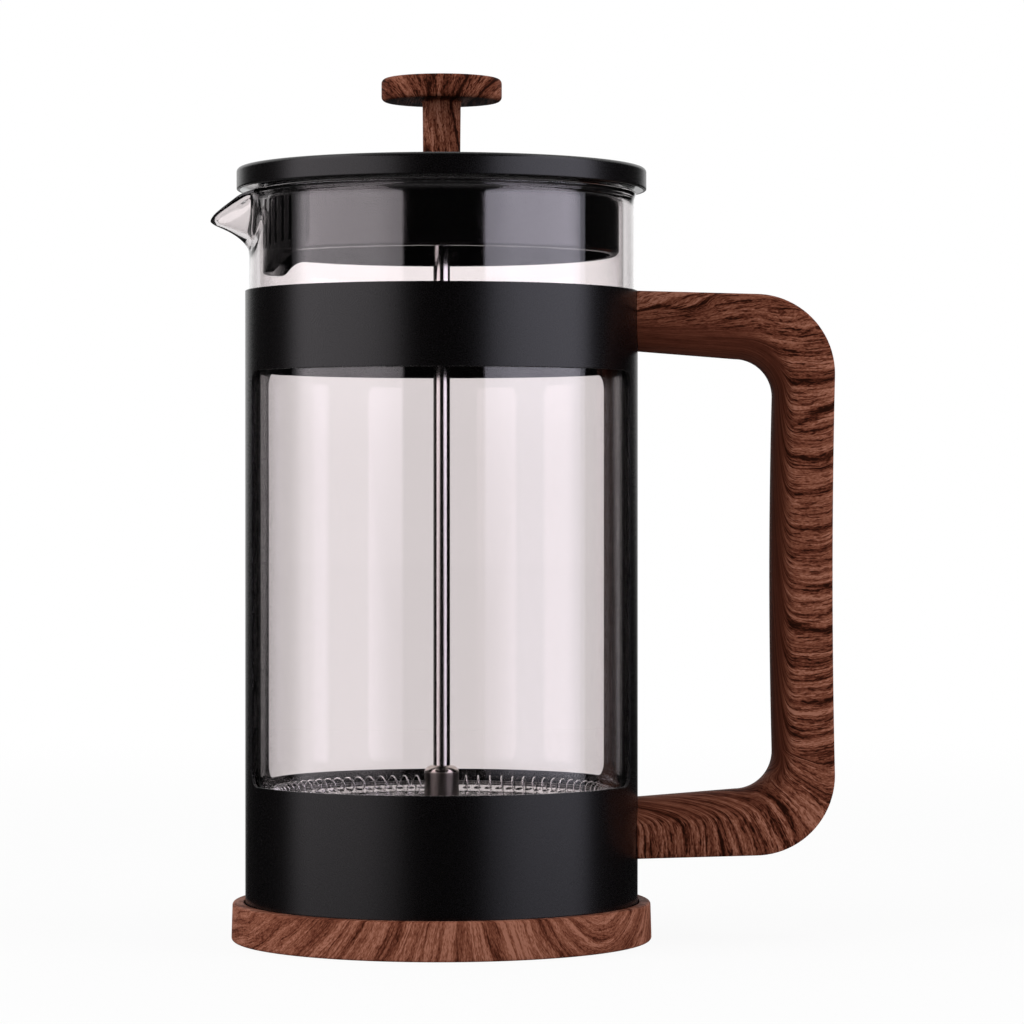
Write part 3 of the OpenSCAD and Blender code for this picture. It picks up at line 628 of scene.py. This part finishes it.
def buildBeaker():
    b = beaker
    obj, _, _ = skinRings("glassBeaker", beakerRings())
    # the spout runs softly into the wall
    co = vertexArray(obj)
    out = np.hypot(co[:, 0], co[:, 1]) - b["outer"]
    near = np.clip((b["rootOut"] - out) / b["rootSoft"], 0, 1)
    near *= np.clip((b["rootWide"] - np.abs(co[:, 1])) / b["rootSoft"], 0, 1)
    near *= np.clip((b["rim"] - 1.0 - co[:, 2]) / b["rootSoftTop"], 0, 1)
    near *= np.clip((co[:, 2] - b["rootLow"]) / b["rootSoftFoot"], 0, 1)
    near *= co[:, 0] < 0
    group = obj.vertex_groups.new(name="spoutRoot")
    for i in np.nonzero(near > 0.01)[0]:
        group.add([int(i)], float(near[i]), "REPLACE")
    blend = obj.modifiers.new("blend", "SMOOTH")
    blend.factor = 0.5
    blend.iterations = b["rootPasses"]
    blend.vertex_group = "spoutRoot"
    pick(obj)
    bpy.ops.object.modifier_apply(modifier=blend.name)
    tidyMesh(obj, 60)
    dress(obj, clearGlass, "beaker", "glass_beaker")


buildBeaker()


# the handle: heights and distances from the axis, in millimetres
handle = {
    "sleeve": 49.2, "width": 18.6,
    "sink": 1.2, "gap": 0.03,           # the arms start inside the sleeve's wall and end clear of it
    "gripIn": 83.5, "gripOut": 98.3, "cornerOut": 20.0, "cornerIn": 9.5,
    "topOut": 162.4, "topIn": 147.6, "lowIn": 35.3, "lowOut": 20.4,
    "fallOut": 0.7, "fallIn": 2.0,      # how far the arms fall towards the grip
    "bow": 0.6,
    "armRound": 8.0, "gripRound": 5.5,  # depth of the soft inner side
    "edge": 1.5, "innerFlat": 1.0,
    "armSteps": 16, "cornerSteps": 22, "gripSteps": 56, "sideSteps": 14, "edgeSteps": 7,
    "print": {                          # how the wood print was drawn round it
        "pull": 6.5, "lowPull": 1.2, "lowArmPull": 1.5,     # how fast it slid along the soft inner side
        "pullFrom": 3.8, "lowPullFrom": 1.2,
        "spread": 2.4, "spreadFrom": 0.45,                  # and towards the outer edge
        "lowStart": 75.0,
        "climb": 0.45, "climbFrom": 68.0, "climbOut": 0.1, "climbEnd": 80.0,
        "climbUnder": 11.5, "climbFade": 8.0,               # only near the upper arm's top edge
        # where the soft inner side starts, for its calmer lines and its painted shade
        "softFrom": 1.0, "softArm": 2.0, "softFade": 4.0, "softLow": 0.7,
    },
}


def handleStations():
    # inner point, outer point, depth of the soft side, part and share of the part, from top to bottom
    h = handle
    inX, outX = h["gripIn"] - h["cornerIn"], h["gripOut"] - h["cornerOut"]

    def arm(t, inZ, outZ, side):
        x0 = h["sleeve"] - h["sink"]
        return ((x0 + (inX - x0) * t, inZ - side * h["fallIn"] * t),
                (x0 + (outX - x0) * t, outZ - side * h["fallOut"] * t), h["armRound"])

    def corner(t, inZ, outZ, side):
        a = math.radians(90 * (1 - t))
        ic = (inX, inZ - side * (h["fallIn"] + h["cornerIn"]))
        oc = (outX, outZ - side * (h["fallOut"] + h["cornerOut"]))
        return ((ic[0] + h["cornerIn"] * math.cos(a), ic[1] + side * h["cornerIn"] * math.sin(a)),
                (oc[0] + h["cornerOut"] * math.cos(a), oc[1] + side * h["cornerOut"] * math.sin(a)),
                h["armRound"] + (h["gripRound"] - h["armRound"]) * t)

    up = (h["topIn"], h["topOut"], 1)
    down = (h["lowIn"], h["lowOut"], -1)
    stations = []
    for i in range(h["armSteps"]):
        t = i / h["armSteps"]
        stations.append((*arm(t, *up), "topArm", t))
    for i in range(h["cornerSteps"] + 1):
        t = i / h["cornerSteps"]
        stations.append((*corner(t, *up), "topCorner", t))
    a, b = corner(1, *up), corner(1, *down)
    for i in range(1, h["gripSteps"]):
        t = i / h["gripSteps"]
        bow = -4 * h["bow"] * t * (1 - t)
        inner = (a[0][0] + (b[0][0] - a[0][0]) * t + bow, a[0][1] + (b[0][1] - a[0][1]) * t)
        outer = (a[1][0] + (b[1][0] - a[1][0]) * t + bow, a[1][1] + (b[1][1] - a[1][1]) * t)
        stations.append((inner, outer, h["gripRound"], "grip", t))
    for i in range(h["cornerSteps"] + 1):
        t = i / h["cornerSteps"]
        stations.append((*corner(1 - t, *down), "lowCorner", t))
    for i in range(1, h["armSteps"] + 1):
        t = i / h["armSteps"]
        stations.append((*arm(1 - t, *down), "lowArm", t))
    return stations


def handleSection(depth, roundU):
    # half of the section from the middle of the inner side to the middle of the outer side
    h = handle
    half = h["width"] / 2
    points = [(0.0, 0.0)]
    points += arc(roundU, -h["innerFlat"], roundU, half - h["innerFlat"], 180, 270, h["sideSteps"])
    flatEnd = depth - h["edge"]
    for k in (0.25, 0.5, 0.75):
        points.append((roundU + (flatEnd - roundU) * k, -half))
    points += arc(flatEnd, h["edge"] - half, h["edge"], h["edge"], 270, 360, h["edgeSteps"])
    return points + [(depth, -half * 0.5), (depth, 0.0)]


def printWeights(part, share):
    # how much a station belongs to the upper arm and to the lower arm, and which way its print was pulled
    arm = {"topArm": 1.0, "topCorner": math.cos(math.radians(90 * share)) ** 2}.get(part, 0.0)
    low = {"lowCorner": min(1.0, share / 0.45), "lowArm": 1.0}.get(part, 0.0)
    low = low * low * (3 - 2 * low)
    pull = {"lowCorner": 1 - 2 * share, "lowArm": -1.0}.get(part, 1.0)
    return arm, low, pull


def buildHandle():
    h, p = handle, handle["print"]
    rings, grains = [], []
    travel = 0.0        # way along the middle of the lower corner and arm
    last = None
    for inner, outer, roundU, part, share in handleStations():
        i, o = np.array(inner), np.array(outer)
        depth = float(np.linalg.norm(o - i))
        ahead = (o - i) / depth
        halfPoints = handleSection(depth, roundU)
        arcs = [0.0]
        for here, there in zip(halfPoints, halfPoints[1:]):
            arcs.append(arcs[-1] + math.dist(here, there))
        flatAt = arcs[h["sideSteps"] + 1]       # where the soft side ends
        edgeAt = arcs[h["sideSteps"] + 5]       # where the outer edge begins
        isLow = part in ("lowCorner", "lowArm")
        middle = (i + o) / 2
        travel = travel + float(np.linalg.norm(middle - last)) if isLow else -float(o[1])
        last = middle
        arm, low, pull = printWeights(part, share)
        lowPull = p["lowPull"] + p["lowArmPull"] * share * (part == "lowArm")
        steep = p["pull"] + (lowPull - p["pull"]) * low
        front = list(zip(halfPoints, arcs))
        back = [((u, -v), a) for (u, v), a in reversed(front[1:-1])]
        ring, grain = [], []
        for (u, v), a in front + back:
            x, z = i + ahead * u
            if part in ("topArm", "lowArm"):
                # the arms end on the sleeve's round wall
                x = max(x, math.sqrt(h["sleeve"] ** 2 - v * v) + h["gap"])
            ring.append((x, v, z))
            # how far the print was pulled along the inner side and towards the outer edge
            soft = flatAt - a
            rise = steep * math.log(1 + math.exp(min(30, soft - p["pullFrom"] + p["lowPullFrom"] * low)))
            wide = (a - flatAt) / (edgeAt - flatAt)
            rise += (1 - low) * p["spread"] * max(0.0, wide - p["spreadFrom"]) ** 2
            if isLow:
                across = travel + pull * rise
                along = a + p["lowStart"]
            else:
                # on the upper arm the lines climb to its top edge
                high = min(1.0, max(0.0, (z - h["topOut"] + p["climbUnder"]) / p["climbFade"]))
                climb = p["climb"] * min(0.0, x - p["climbFrom"])
                climb += p["climbOut"] * min(0.0, max(x, p["climbFrom"]) - p["climbEnd"])
                across = -z + climb * high * arm + pull * rise - max(0.0, a - edgeAt) * arm
                along = x * arm + (a - flatAt + i[0] + roundU) * (1 - arm)
            # how far a point lies in the soft side: its lines are calmer there and painted shade darkens
            # it
            k = min(1.0, max(0.0, (soft - p["softFrom"] + p["softArm"] * arm) / p["softFade"]))
            k = k * k * (3 - 2 * k) * (1 - p["softLow"] * low)
            grain.append((across, along, v * 0.5, k))
        rings.append(ring)
        grains.append(grain)
    obj, ringOf, pointOf = skinRings("handleGrip", rings)
    marks = np.array(grains)[ringOf, pointOf]
    setGrain(obj, marks[:, :3], soft=marks[:, 3])
    tidyMesh(obj, 60)
    dress(obj, handleWood, "stand", "handle")


buildHandle()


# the coaster
coaster = {
    "foot": 52.65, "top": 52.4, "high": 9.6,      # radius at the foot and at the top, height
    "recess": 49.55, "recessFloor": 5.0, "hollow": 45.65, "hollowTop": 1.6,
    "lowEdge": 0.8, "topEdge": 0.7, "footEdge": 0.4, "recessEdge": 0.3,
    "lowRing": 20.0, "topRing": 30.0,             # where the flat faces are parted
    # way of the printed lines, degrees from level, at places round the rim in millimetres
    "lean": ((-83, 6), (-68, 9), (-50, 24), (-39, 36), (-24, 55), (-10, 70), (0, 86), (10, 106), (20, 112),
             (27, 125), (35, 150), (42, 182), (49, 206), (57, 218), (66, 226), (83, 230)),
}


def coasterOutline():
    c = coaster
    low, high = c["lowEdge"], c["high"] - c["topEdge"]
    outline = [(0.0, c["hollowTop"]), (c["lowRing"], c["hollowTop"]), (c["hollow"], c["hollowTop"])]
    outline += [(c["hollow"], c["footEdge"]), (c["hollow"] + c["footEdge"], 0.0)]
    outline += arc(c["foot"] - low, low, low, low, -90, 0, 6)
    for k in (0.25, 0.5, 0.75):
        outline.append((c["foot"] + (c["top"] - c["foot"]) * k, low + (high - low) * k))
    outline += arc(c["top"] - c["topEdge"], high, c["topEdge"], c["topEdge"], 0, 90, 5)
    edge = c["recessEdge"]
    outline += arc(c["recess"] + edge, c["high"] - edge, edge, edge, 90, 180, 3)
    return outline + [(r, c["recessFloor"]) for r in (c["recess"], c["topRing"], 0.0)]


def buildCoaster():
    c = coaster
    obj = spinProfile("woodCoaster", coasterOutline(), 180)
    tidyMesh(obj, 50)
    co = vertexArray(obj)
    r = np.hypot(co[:, 0], co[:, 1])
    side = np.arcsin(np.clip(co[:, 0] / np.maximum(r, 0.01), -1, 1)) * c["foot"]
    # the print runs on over the upper face and under the foot
    up = co[:, 2] + np.clip(c["top"] - r, 0, None) * np.where(co[:, 2] > c["recessFloor"], 1, -1)
    # the lines turn slowly round the rim, so their way is summed up along it
    places = np.linspace(-90, 90, 721)
    turns = np.radians(np.interp(places, *zip(*c["lean"])))
    step = places[1] - places[0]
    lean = np.interp(side, places, turns)
    across = np.interp(side, places, np.cumsum(np.sin(turns)) * step) - up * np.cos(lean)
    along = np.interp(side, places, np.cumsum(np.cos(turns)) * step) + up * np.sin(lean)
    setGrain(obj, np.stack([across, along, co[:, 1] * 0.8], 1))
    dress(obj, coasterWood, "stand", "base_coaster")


buildCoaster()


# the knob and its stem
knob = {
    "foot": 193.35, "disc": 210.0, "top": 215.7, "radius": 15.1, "edge": 1.2,
    "stem": 4.65, "stemTop": 4.8, "stemEdge": 0.35, "corner": 0.4,
    "bore": 3.1, "boreTop": 204.35,
    "underRing": 10.0, "topRings": (9.0, 4.0, 0.0),
    "fan": 0.085,                 # how fast the printed lines open over the disc
    "stretch": 1.15, "stemLean": 0.08,
    # painted shade on the disc and under it, painted light on the stem
    "discPaintedShade": -0.15, "underPaintedShade": -0.42, "stemPaintedLight": 0.13,
}


def buildKnob():
    k = knob
    outline = [(0.0, k["boreTop"]), (k["bore"], k["boreTop"]), (k["bore"], k["foot"])]
    outline += [(k["stem"] - k["stemEdge"], k["foot"]), (k["stem"], k["foot"] + k["stemEdge"])]
    for t in (0.25, 0.5, 0.75):
        high = k["foot"] + (k["disc"] - k["foot"]) * t
        outline.append((k["stem"] + (k["stemTop"] - k["stem"]) * t, high))
    outline += [(k["stemTop"], k["disc"] - k["corner"]), (k["stemTop"] + k["corner"], k["disc"])]
    outline += [(k["underRing"], k["disc"])]
    outline += arc(k["radius"] - k["edge"], k["disc"] + k["edge"], k["edge"], k["edge"], -90, 0, 7)
    outline += arc(k["radius"] - k["edge"], k["top"] - k["edge"], k["edge"], k["edge"], 0, 90, 7)
    outline += [(r, k["top"]) for r in k["topRings"]]
    obj = spinProfile("woodKnob", outline, 96)
    tidyMesh(obj, 40)
    co = vertexArray(obj)
    high = co[:, 2] - k["disc"]
    # the lines fan out over the disc and lean a little on the stem
    fan = co[:, 0] * k["stretch"] / (1 + k["fan"] * np.clip(high, -0.5, None))
    across = np.where(high > -0.5, fan, co[:, 0] * k["stretch"] + k["stemLean"] * high)
    # painted shade under the disc and on it, painted light on the stem
    under = (np.abs(high) < 0.02) & (np.hypot(co[:, 0], co[:, 1]) > 6.0)
    shade = np.where(high > -0.02, k["discPaintedShade"], k["stemPaintedLight"])
    shade = np.where(under, k["underPaintedShade"], shade)
    setGrain(obj, np.stack([across, co[:, 2] * 1.6, co[:, 1] * 0.6], 1), shade=shade)
    dress(obj, knobWood, "plunger", "plunger_knob")


buildKnob()


# the filter spring: a ring of small turns round the plate
spring = {
    "ring": 42.5, "height": 35.95,      # middle of the ring
    "wind": 2.075, "wire": 0.45,        # radius of a turn, diameter of the wire
    "turns": 81, "perTurn": 14,
}


def buildSpring():
    s = spring
    data = bpy.data.curves.new("filterSpring", "CURVE")
    data.dimensions = "3D"
    data.bevel_depth = s["wire"] / 2 * mm
    data.bevel_resolution = 1
    line = data.splines.new("POLY")
    count = s["turns"] * s["perTurn"]
    line.points.add(count - 1)
    for i in range(count):
        a = 2 * math.pi * i / count
        b = 2 * math.pi * i / s["perTurn"]
        r = s["ring"] + s["wind"] * math.cos(b)
        z = s["height"] - s["wind"] * math.sin(b)
        line.points[i].co = (r * math.cos(a) * mm, r * math.sin(a) * mm, z * mm, 1)
    line.use_cyclic_u = True
    obj = bpy.data.objects.new("filterSpring", data)
    bpy.context.scene.collection.objects.link(obj)
    pick(obj)
    bpy.ops.object.convert(target="MESH")
    obj = bpy.context.object
    bpy.ops.object.shade_smooth()
    dress(obj, springSteel, "plunger", "filter_coil")


buildSpring()


# the lid's pressed cover
lid = {
    "low": 187.7, "high": 193.1, "radius": 51.35, "sheet": 0.8, "hole": 4.06,
    "edge": 1.0, "lowEdge": 0.3, "insideEdge": 0.2,
    "rings": (15.0, 32.0), "band": 2.4,       # where the top is parted, and how high the side is
}


def buildLid():
    c = lid
    inside, ceiling = c["radius"] - c["sheet"], c["high"] - c["sheet"]
    shoulder, brim, bend = c["radius"] - c["edge"], c["low"] + c["lowEdge"], c["insideEdge"]
    outline = [(r, c["high"]) for r in (c["hole"], *c["rings"], shoulder - 0.3)]
    outline += reversed(arc(shoulder, c["high"] - c["edge"], c["edge"], c["edge"], 0, 90, 8))
    outline += [(c["radius"], c["high"] - c["edge"] - 0.2), (c["radius"], c["low"] + c["band"])]
    outline += [(c["radius"], brim + 0.15)]
    outline += reversed(arc(c["radius"] - c["lowEdge"], brim, c["lowEdge"], c["lowEdge"], -90, 0, 3))
    outline += [(inside, c["low"] + 0.1), (inside, c["low"] + c["band"])]
    outline += arc(inside - bend, ceiling - bend, bend, bend, 0, 90, 3)
    outline += [(r, ceiling) for r in (*reversed(c["rings"]), c["hole"])]
    outline.append((c["hole"], c["high"]))
    obj = spinProfile("lidCover", outline, 180)
    tidyMesh(obj, 50)
    dress(obj, blackSteel, "lid", "lid_cover")


buildLid()


# the perforated plate that carries the spring
plate = {
    "low": 33.65, "thick": 0.8, "rimIn": 35.83, "rimOut": 40.2, "rimHigh": 35.75, "bore": 2.16,
    "ring": 18.0,                            # where its faces are parted
    "rimHole": 1.0, "rimHoleAt": 38.4,       # radius of the threading holes, and of their row
    "hole": 1.5, "rows": (10.4, 16.4, 22.4, 28.4, 33.4),
    "holeStep": 3.8,                         # from hole to hole along a row, in radii of a hole
    "rowTurn": 0.37,                         # each row starts this much further round
    "drillSides": 10, "drillHeight": 34.0, "drillLength": 6.0,
}


def plateDrill():
    # the threading holes by the rim and the rows of holes inside it, as one cutter
    p = plate
    rows = [(p["rimHoleAt"], p["rimHole"], spring["turns"], 0.5)]
    for i, r in enumerate(p["rows"]):
        count = int(2 * math.pi * r / (p["hole"] * p["holeStep"]))
        rows.append((r, p["hole"], count, p["rowTurn"] * i))
    drills = []
    for r, size, count, turn in rows:
        for i in range(count):
            a = 2 * math.pi * (i + turn) / count
            place = (r * math.cos(a) * mm, r * math.sin(a) * mm, p["drillHeight"] * mm)
            bpy.ops.mesh.primitive_cylinder_add(vertices=p["drillSides"], radius=size * mm,
                                                depth=p["drillLength"] * mm, location=place)
            drills.append(bpy.context.object)
    pick(drills[0])
    for drill in drills:
        drill.select_set(True)
    bpy.ops.object.join()
    return bpy.context.object


def buildPlate():
    p = plate
    top = p["low"] + p["thick"]
    outline = [(p["bore"], top), (p["ring"], top), (p["rimIn"], top), (p["rimOut"], p["rimHigh"])]
    outline += [(p["rimOut"], p["rimHigh"] - p["thick"]), (p["rimIn"], p["low"]), (p["ring"], p["low"])]
    outline += [(p["bore"], p["low"]), (p["bore"], top)]
    obj = spinProfile("filterPlate", outline, 162)
    tidyMesh(obj, 30)
    drill = plateDrill()
    pick(obj)
    cut = obj.modifiers.new("holes", "BOOLEAN")
    cut.operation = "DIFFERENCE"
    cut.solver = "EXACT"
    cut.object = drill
    bpy.ops.object.modifier_apply(modifier=cut.name)
    bpy.data.objects.remove(drill)
    bpy.ops.object.shade_smooth_by_angle(angle=math.radians(30))
    dress(obj, plateSteel, "plunger", "spiral_plate")


buildPlate()


# the rest keeps its machined shape and gets its finish
finishes = {
    "frame_sleeve": blackSteel, "lid_plug": blackPlastic,
    "beaker_cushion": cushionRubber, "rod_bush": bushSteel, "bush_clip": bushSteel,
    "plunger_rod": rodSteel, "rod_collar": collarSteel, "mesh_screen": wireCloth,
    "cross_plate": plateSteel, "filter_nut": rodSteel,
    "base_screws": bushSteel, "handle_screws": bushSteel,
    "handle_inserts": brass, "knob_insert": brass,
}
for name, material in finishes.items():
    paintWith(nodes[name], material)
print("finishes set:", len(finishes))


# the studio: soft boxes at both sides, a white backdrop and a pale table
studio = {
    "ambient": 0.40,                  # what the room gives to matt surfaces
    "leftBox": (-25.5, -102.5),       # inner and outer edge, degrees round the object, 0 faces the viewer
    "rightBox": (23.5, 92.0),
    "leftTone": (2.18, 2.05, 2.17),
    "rightTone": (2.55, 2.50, 2.90),
    "leftFade": 0.1,                  # what is left of each box at its outer edge
    "rightFade": 0.6,
    "fadeWide": 13.5,
    "boxFoot": -5.6,                  # heights are degrees above level
    "boxTop": 60.0,
    "lean": 0.9,                      # how fast the inner edges open upwards
    "leanFrom": 5.0,
    "front": 0.01,
    "back": 1.0,
    "backFrom": (153.0, 173.0),
    "wallBackFrom": (138.0, 146.0),   # the backdrop as the beaker's own wall turns it round
    "ceiling": 0.55,
    "ceilingFrom": (8.0, 30.0),
    "ribs": 0.12,
    "ribsFrom": (-108.0, -116.0),
    "table": 0.12,
    "tableFrom": (-9.0, -25.0),
    "glow": 0.3,                      # the backdrop through the glass, above and near the table's far edge
    "glowFrom": (2.1, 3.1),
    "dim": 0.03,
    "dimFrom": (1.8, 0.7),
    "lamps": (
        ("leftSoftbox", (-1.15, -0.45, 0.55), (0.9, 1.3), 13.0),
        ("rightSoftbox", (1.15, -0.5, 0.5), (0.9, 1.3), 11.0),
        ("topSoftbox", (0.0, 0.1, 1.4), (1.0, 1.0), 4.0),
    ),
    "lampAim": (0, 0, 0.1),
}
camera = {
    "place": (-0.0419, -0.9991, 0.1098), "turn": -3.413, "tilt": 89.845,
    "lens": 140.03, "sensor": 36.0, "clip": (0.05, 50.0),
}
table = {
    "radius": 6.0, "sides": 96, "color": (0.8, 0.8, 0.8, 1),
    "white": 0.92,                    # share of plain white near the object, the rest takes the shadow
    "fade": (0.25, 0.9),              # and where it turns wholly white, in metres
    "throughGlass": 0.045,
}


def addNode(n, l, kind, *sources):
    # a shader node with its first inputs linked in order
    node = n.new(kind)
    for socket, source in zip(node.inputs, sources):
        l.new(source, socket)
    return node.outputs[0]


def buildWorld():
    world = bpy.data.worlds.new("studioRoom")
    bpy.context.scene.world = world
    world.use_nodes = True
    world.cycles.sampling_method = "NONE"
    n, l = world.node_tree.nodes, world.node_tree.links
    n.clear()
    x, y, z = parts(n, l, n.new("ShaderNodeTexCoord").outputs["Generated"])

    def times(a, b):
        return mathNode(n, l, "MULTIPLY", a, b)

    def highest(a, b):
        return mathNode(n, l, "MAXIMUM", a, b)

    def level(value):
        node = n.new("ShaderNodeBackground")
        feed(l, node.inputs["Strength"], value)
        node.inputs["Color"].default_value = (1, 1, 1, 1)
        return node.outputs[0]

    # degrees round the object, 0 towards the viewer and + to the right, and above level
    around = times(mathNode(n, l, "ARCTAN2", x, times(y, -1.0)), 180 / math.pi)
    height = times(mathNode(n, l, "ARCSINE", z), 180 / math.pi)
    foot = smoothStep(n, l, height, studio["boxFoot"] - 0.6, studio["boxFoot"] + 0.6)
    top = smoothStep(n, l, height, studio["boxTop"] + 3, studio["boxTop"] - 3)
    tall = times(foot, top)
    rise = mathNode(n, l, "SUBTRACT", height, studio["leanFrom"])
    rise = times(highest(rise, 0.0), studio["lean"])

    def box(edges, tone, fade):
        # one soft box seen in a mirror: sharp inner edge, brighter towards the middle
        inner, outer = abs(edges[0]), abs(edges[1])
        away = times(around, math.copysign(1.0, edges[0]))
        inside = mathNode(n, l, "SUBTRACT", away, rise)
        low = smoothStep(n, l, inside, inner - 1.0, inner + 1.0)
        fill = smoothStep(n, l, inside, inner, inner + 20.0, 0.72, 1.0)
        high = smoothStep(n, l, away, outer + 1.0, outer - 1.0)
        share = times(times(times(low, high), tall), fill)
        share = times(share, smoothStep(n, l, height, 0.0, 3.0, 0.70, 1.0))
        # the outer edge fades, and so does the inner part low down
        share = times(share, smoothStep(n, l, away, outer + 1, outer + 1 - studio["fadeWide"], fade, 1.0))
        start = smoothStep(n, l, away, inner + 2, inner + 26, 0.45, 1.0)
        share = times(share, highest(start, smoothStep(n, l, height, -5.0, 2.0, 0.0, 1.0)))
        shine = n.new("ShaderNodeBackground")
        shine.inputs["Color"].default_value = (*tone, 1)
        l.new(share, shine.inputs["Strength"])
        return shine.outputs[0]

    boxes = addNode(n, l, "ShaderNodeAddShader",
                    box(studio["leftBox"], studio["leftTone"], studio["leftFade"]),
                    box(studio["rightBox"], studio["rightTone"], studio["rightFade"]))
    aside = mathNode(n, l, "ABSOLUTE", around)
    behind = mathNode(n, l, "MULTIPLY_ADD", height, 2.0, aside)
    rear = smoothStep(n, l, behind, *studio["backFrom"], studio["front"], studio["back"])
    # light that turned back inside the beaker's own wall comes from the backdrop
    path = n.new("ShaderNodeLightPath").outputs
    passed = path["Transmission Depth"]
    inWall = mathNode(n, l, "COMPARE", passed, 2.0, 0.5)
    wide = smoothStep(n, l, aside, *studio["wallBackFrom"])
    # and what the rim and the spout's lip turned up or down comes from the ceiling or the table
    steep = mathNode(n, l, "ABSOLUTE", height)
    wide = highest(wide, smoothStep(n, l, steep, *studio["ceilingFrom"], 0.0, studio["ceiling"]))
    rear = highest(rear, times(inWall, wide))
    # the strainer's ribs, seen through the beaker, catch a little of the room at their side
    ribs = times(mathNode(n, l, "COMPARE", passed, 4.0, 0.5),
                 smoothStep(n, l, around, *studio["ribsFrom"], 0.0, studio["ribs"]))
    rear = highest(rear, ribs)
    low = smoothStep(n, l, height, *studio["tableFrom"], 0.0, studio["table"])
    mirrored = addNode(n, l, "ShaderNodeAddShader", boxes, level(highest(rear, low)))

    # the backdrop as seen straight or through the glass
    through = path["Is Transmission Ray"]
    glow = times(smoothStep(n, l, height, *studio["glowFrom"]), through)
    dim = times(smoothStep(n, l, height, *studio["dimFrom"]), through)
    backdrop = mathNode(n, l, "MULTIPLY_ADD", glow, studio["glow"], studio["back"])
    backdrop = level(mathNode(n, l, "MULTIPLY_ADD", dim, -studio["dim"], backdrop))
    bounced = mathNode(n, l, "GREATER_THAN", path["Glossy Depth"], 0.5)
    seen = addNode(n, l, "ShaderNodeMixShader", bounced, backdrop, mirrored)
    lit = addNode(n, l, "ShaderNodeMixShader", path["Is Diffuse Ray"], seen, level(studio["ambient"]))
    showOn(n, l, "ShaderNodeOutputWorld", lit)
    print("room built")


def buildLamps():
    for name, place, size, power in studio["lamps"]:
        data = bpy.data.lights.new(name, "AREA")
        data.shape = "RECTANGLE"
        data.size, data.size_y = size
        data.energy = power
        lamp = bpy.data.objects.new(name, data)
        bpy.context.scene.collection.objects.link(lamp)
        lamp.location = place
        aim = Vector(place) - Vector(studio["lampAim"])
        lamp.rotation_euler = aim.to_track_quat("Z", "Y").to_euler()
        # only the drawn boxes show in the glass and the steel
        lamp.visible_camera = False
        lamp.visible_glossy = False
        lamp.visible_transmission = False
    print("lamps placed:", len(studio["lamps"]))


def buildCamera():
    data = bpy.data.cameras.new("camera")
    data.lens = camera["lens"]
    data.sensor_width = camera["sensor"]
    data.clip_start, data.clip_end = camera["clip"]
    cam = bpy.data.objects.new("camera", data)
    bpy.context.scene.collection.objects.link(cam)
    cam.location = camera["place"]
    cam.rotation_euler = (math.radians(camera["tilt"]), 0.0, math.radians(camera["turn"]))
    bpy.context.scene.camera = cam


def buildTable():
    deselectAll()
    bpy.ops.mesh.primitive_circle_add(vertices=table["sides"], radius=table["radius"], fill_type="NGON",
                                      location=(0, 0, 0))
    floor = bpy.context.object
    floor.name = "floor"
    mat, n, l = newMaterial("paleFloor")
    path = n.new("ShaderNodeLightPath").outputs
    paint = n.new("ShaderNodeBsdfDiffuse")
    paint.inputs["Color"].default_value = table["color"]
    white = n.new("ShaderNodeEmission")
    strength = mathNode(n, l, "MULTIPLY_ADD", path["Is Transmission Ray"], -table["throughGlass"], 1.0)
    l.new(strength, white.inputs["Strength"])
    seen = mathNode(n, l, "MAXIMUM", path["Is Camera Ray"], path["Is Transmission Ray"])
    # further off the table runs into the backdrop without a seam
    far = n.new("ShaderNodeVectorMath")
    far.operation = "LENGTH"
    l.new(objectCoords(n), far.inputs[0])
    share = smoothStep(n, l, far.outputs["Value"], *table["fade"], table["white"], 1.0)
    share = mathNode(n, l, "MULTIPLY", seen, share)
    near = addNode(n, l, "ShaderNodeMixShader", share, paint.outputs[0], white.outputs[0])
    # reflections look past it into the room
    bounced = mathNode(n, l, "GREATER_THAN", path["Glossy Depth"], 0.5)
    clear = n.new("ShaderNodeBsdfTransparent").outputs[0]
    mirror = addNode(n, l, "ShaderNodeMixShader", bounced, near, clear)
    showOn(n, l, "ShaderNodeOutputMaterial", mirror)
    paintWith(floor, mat)


buildWorld()
buildLamps()
buildCamera()
buildTable()
bpy.context.scene.view_settings.view_transform = "Standard"
print("studio built")
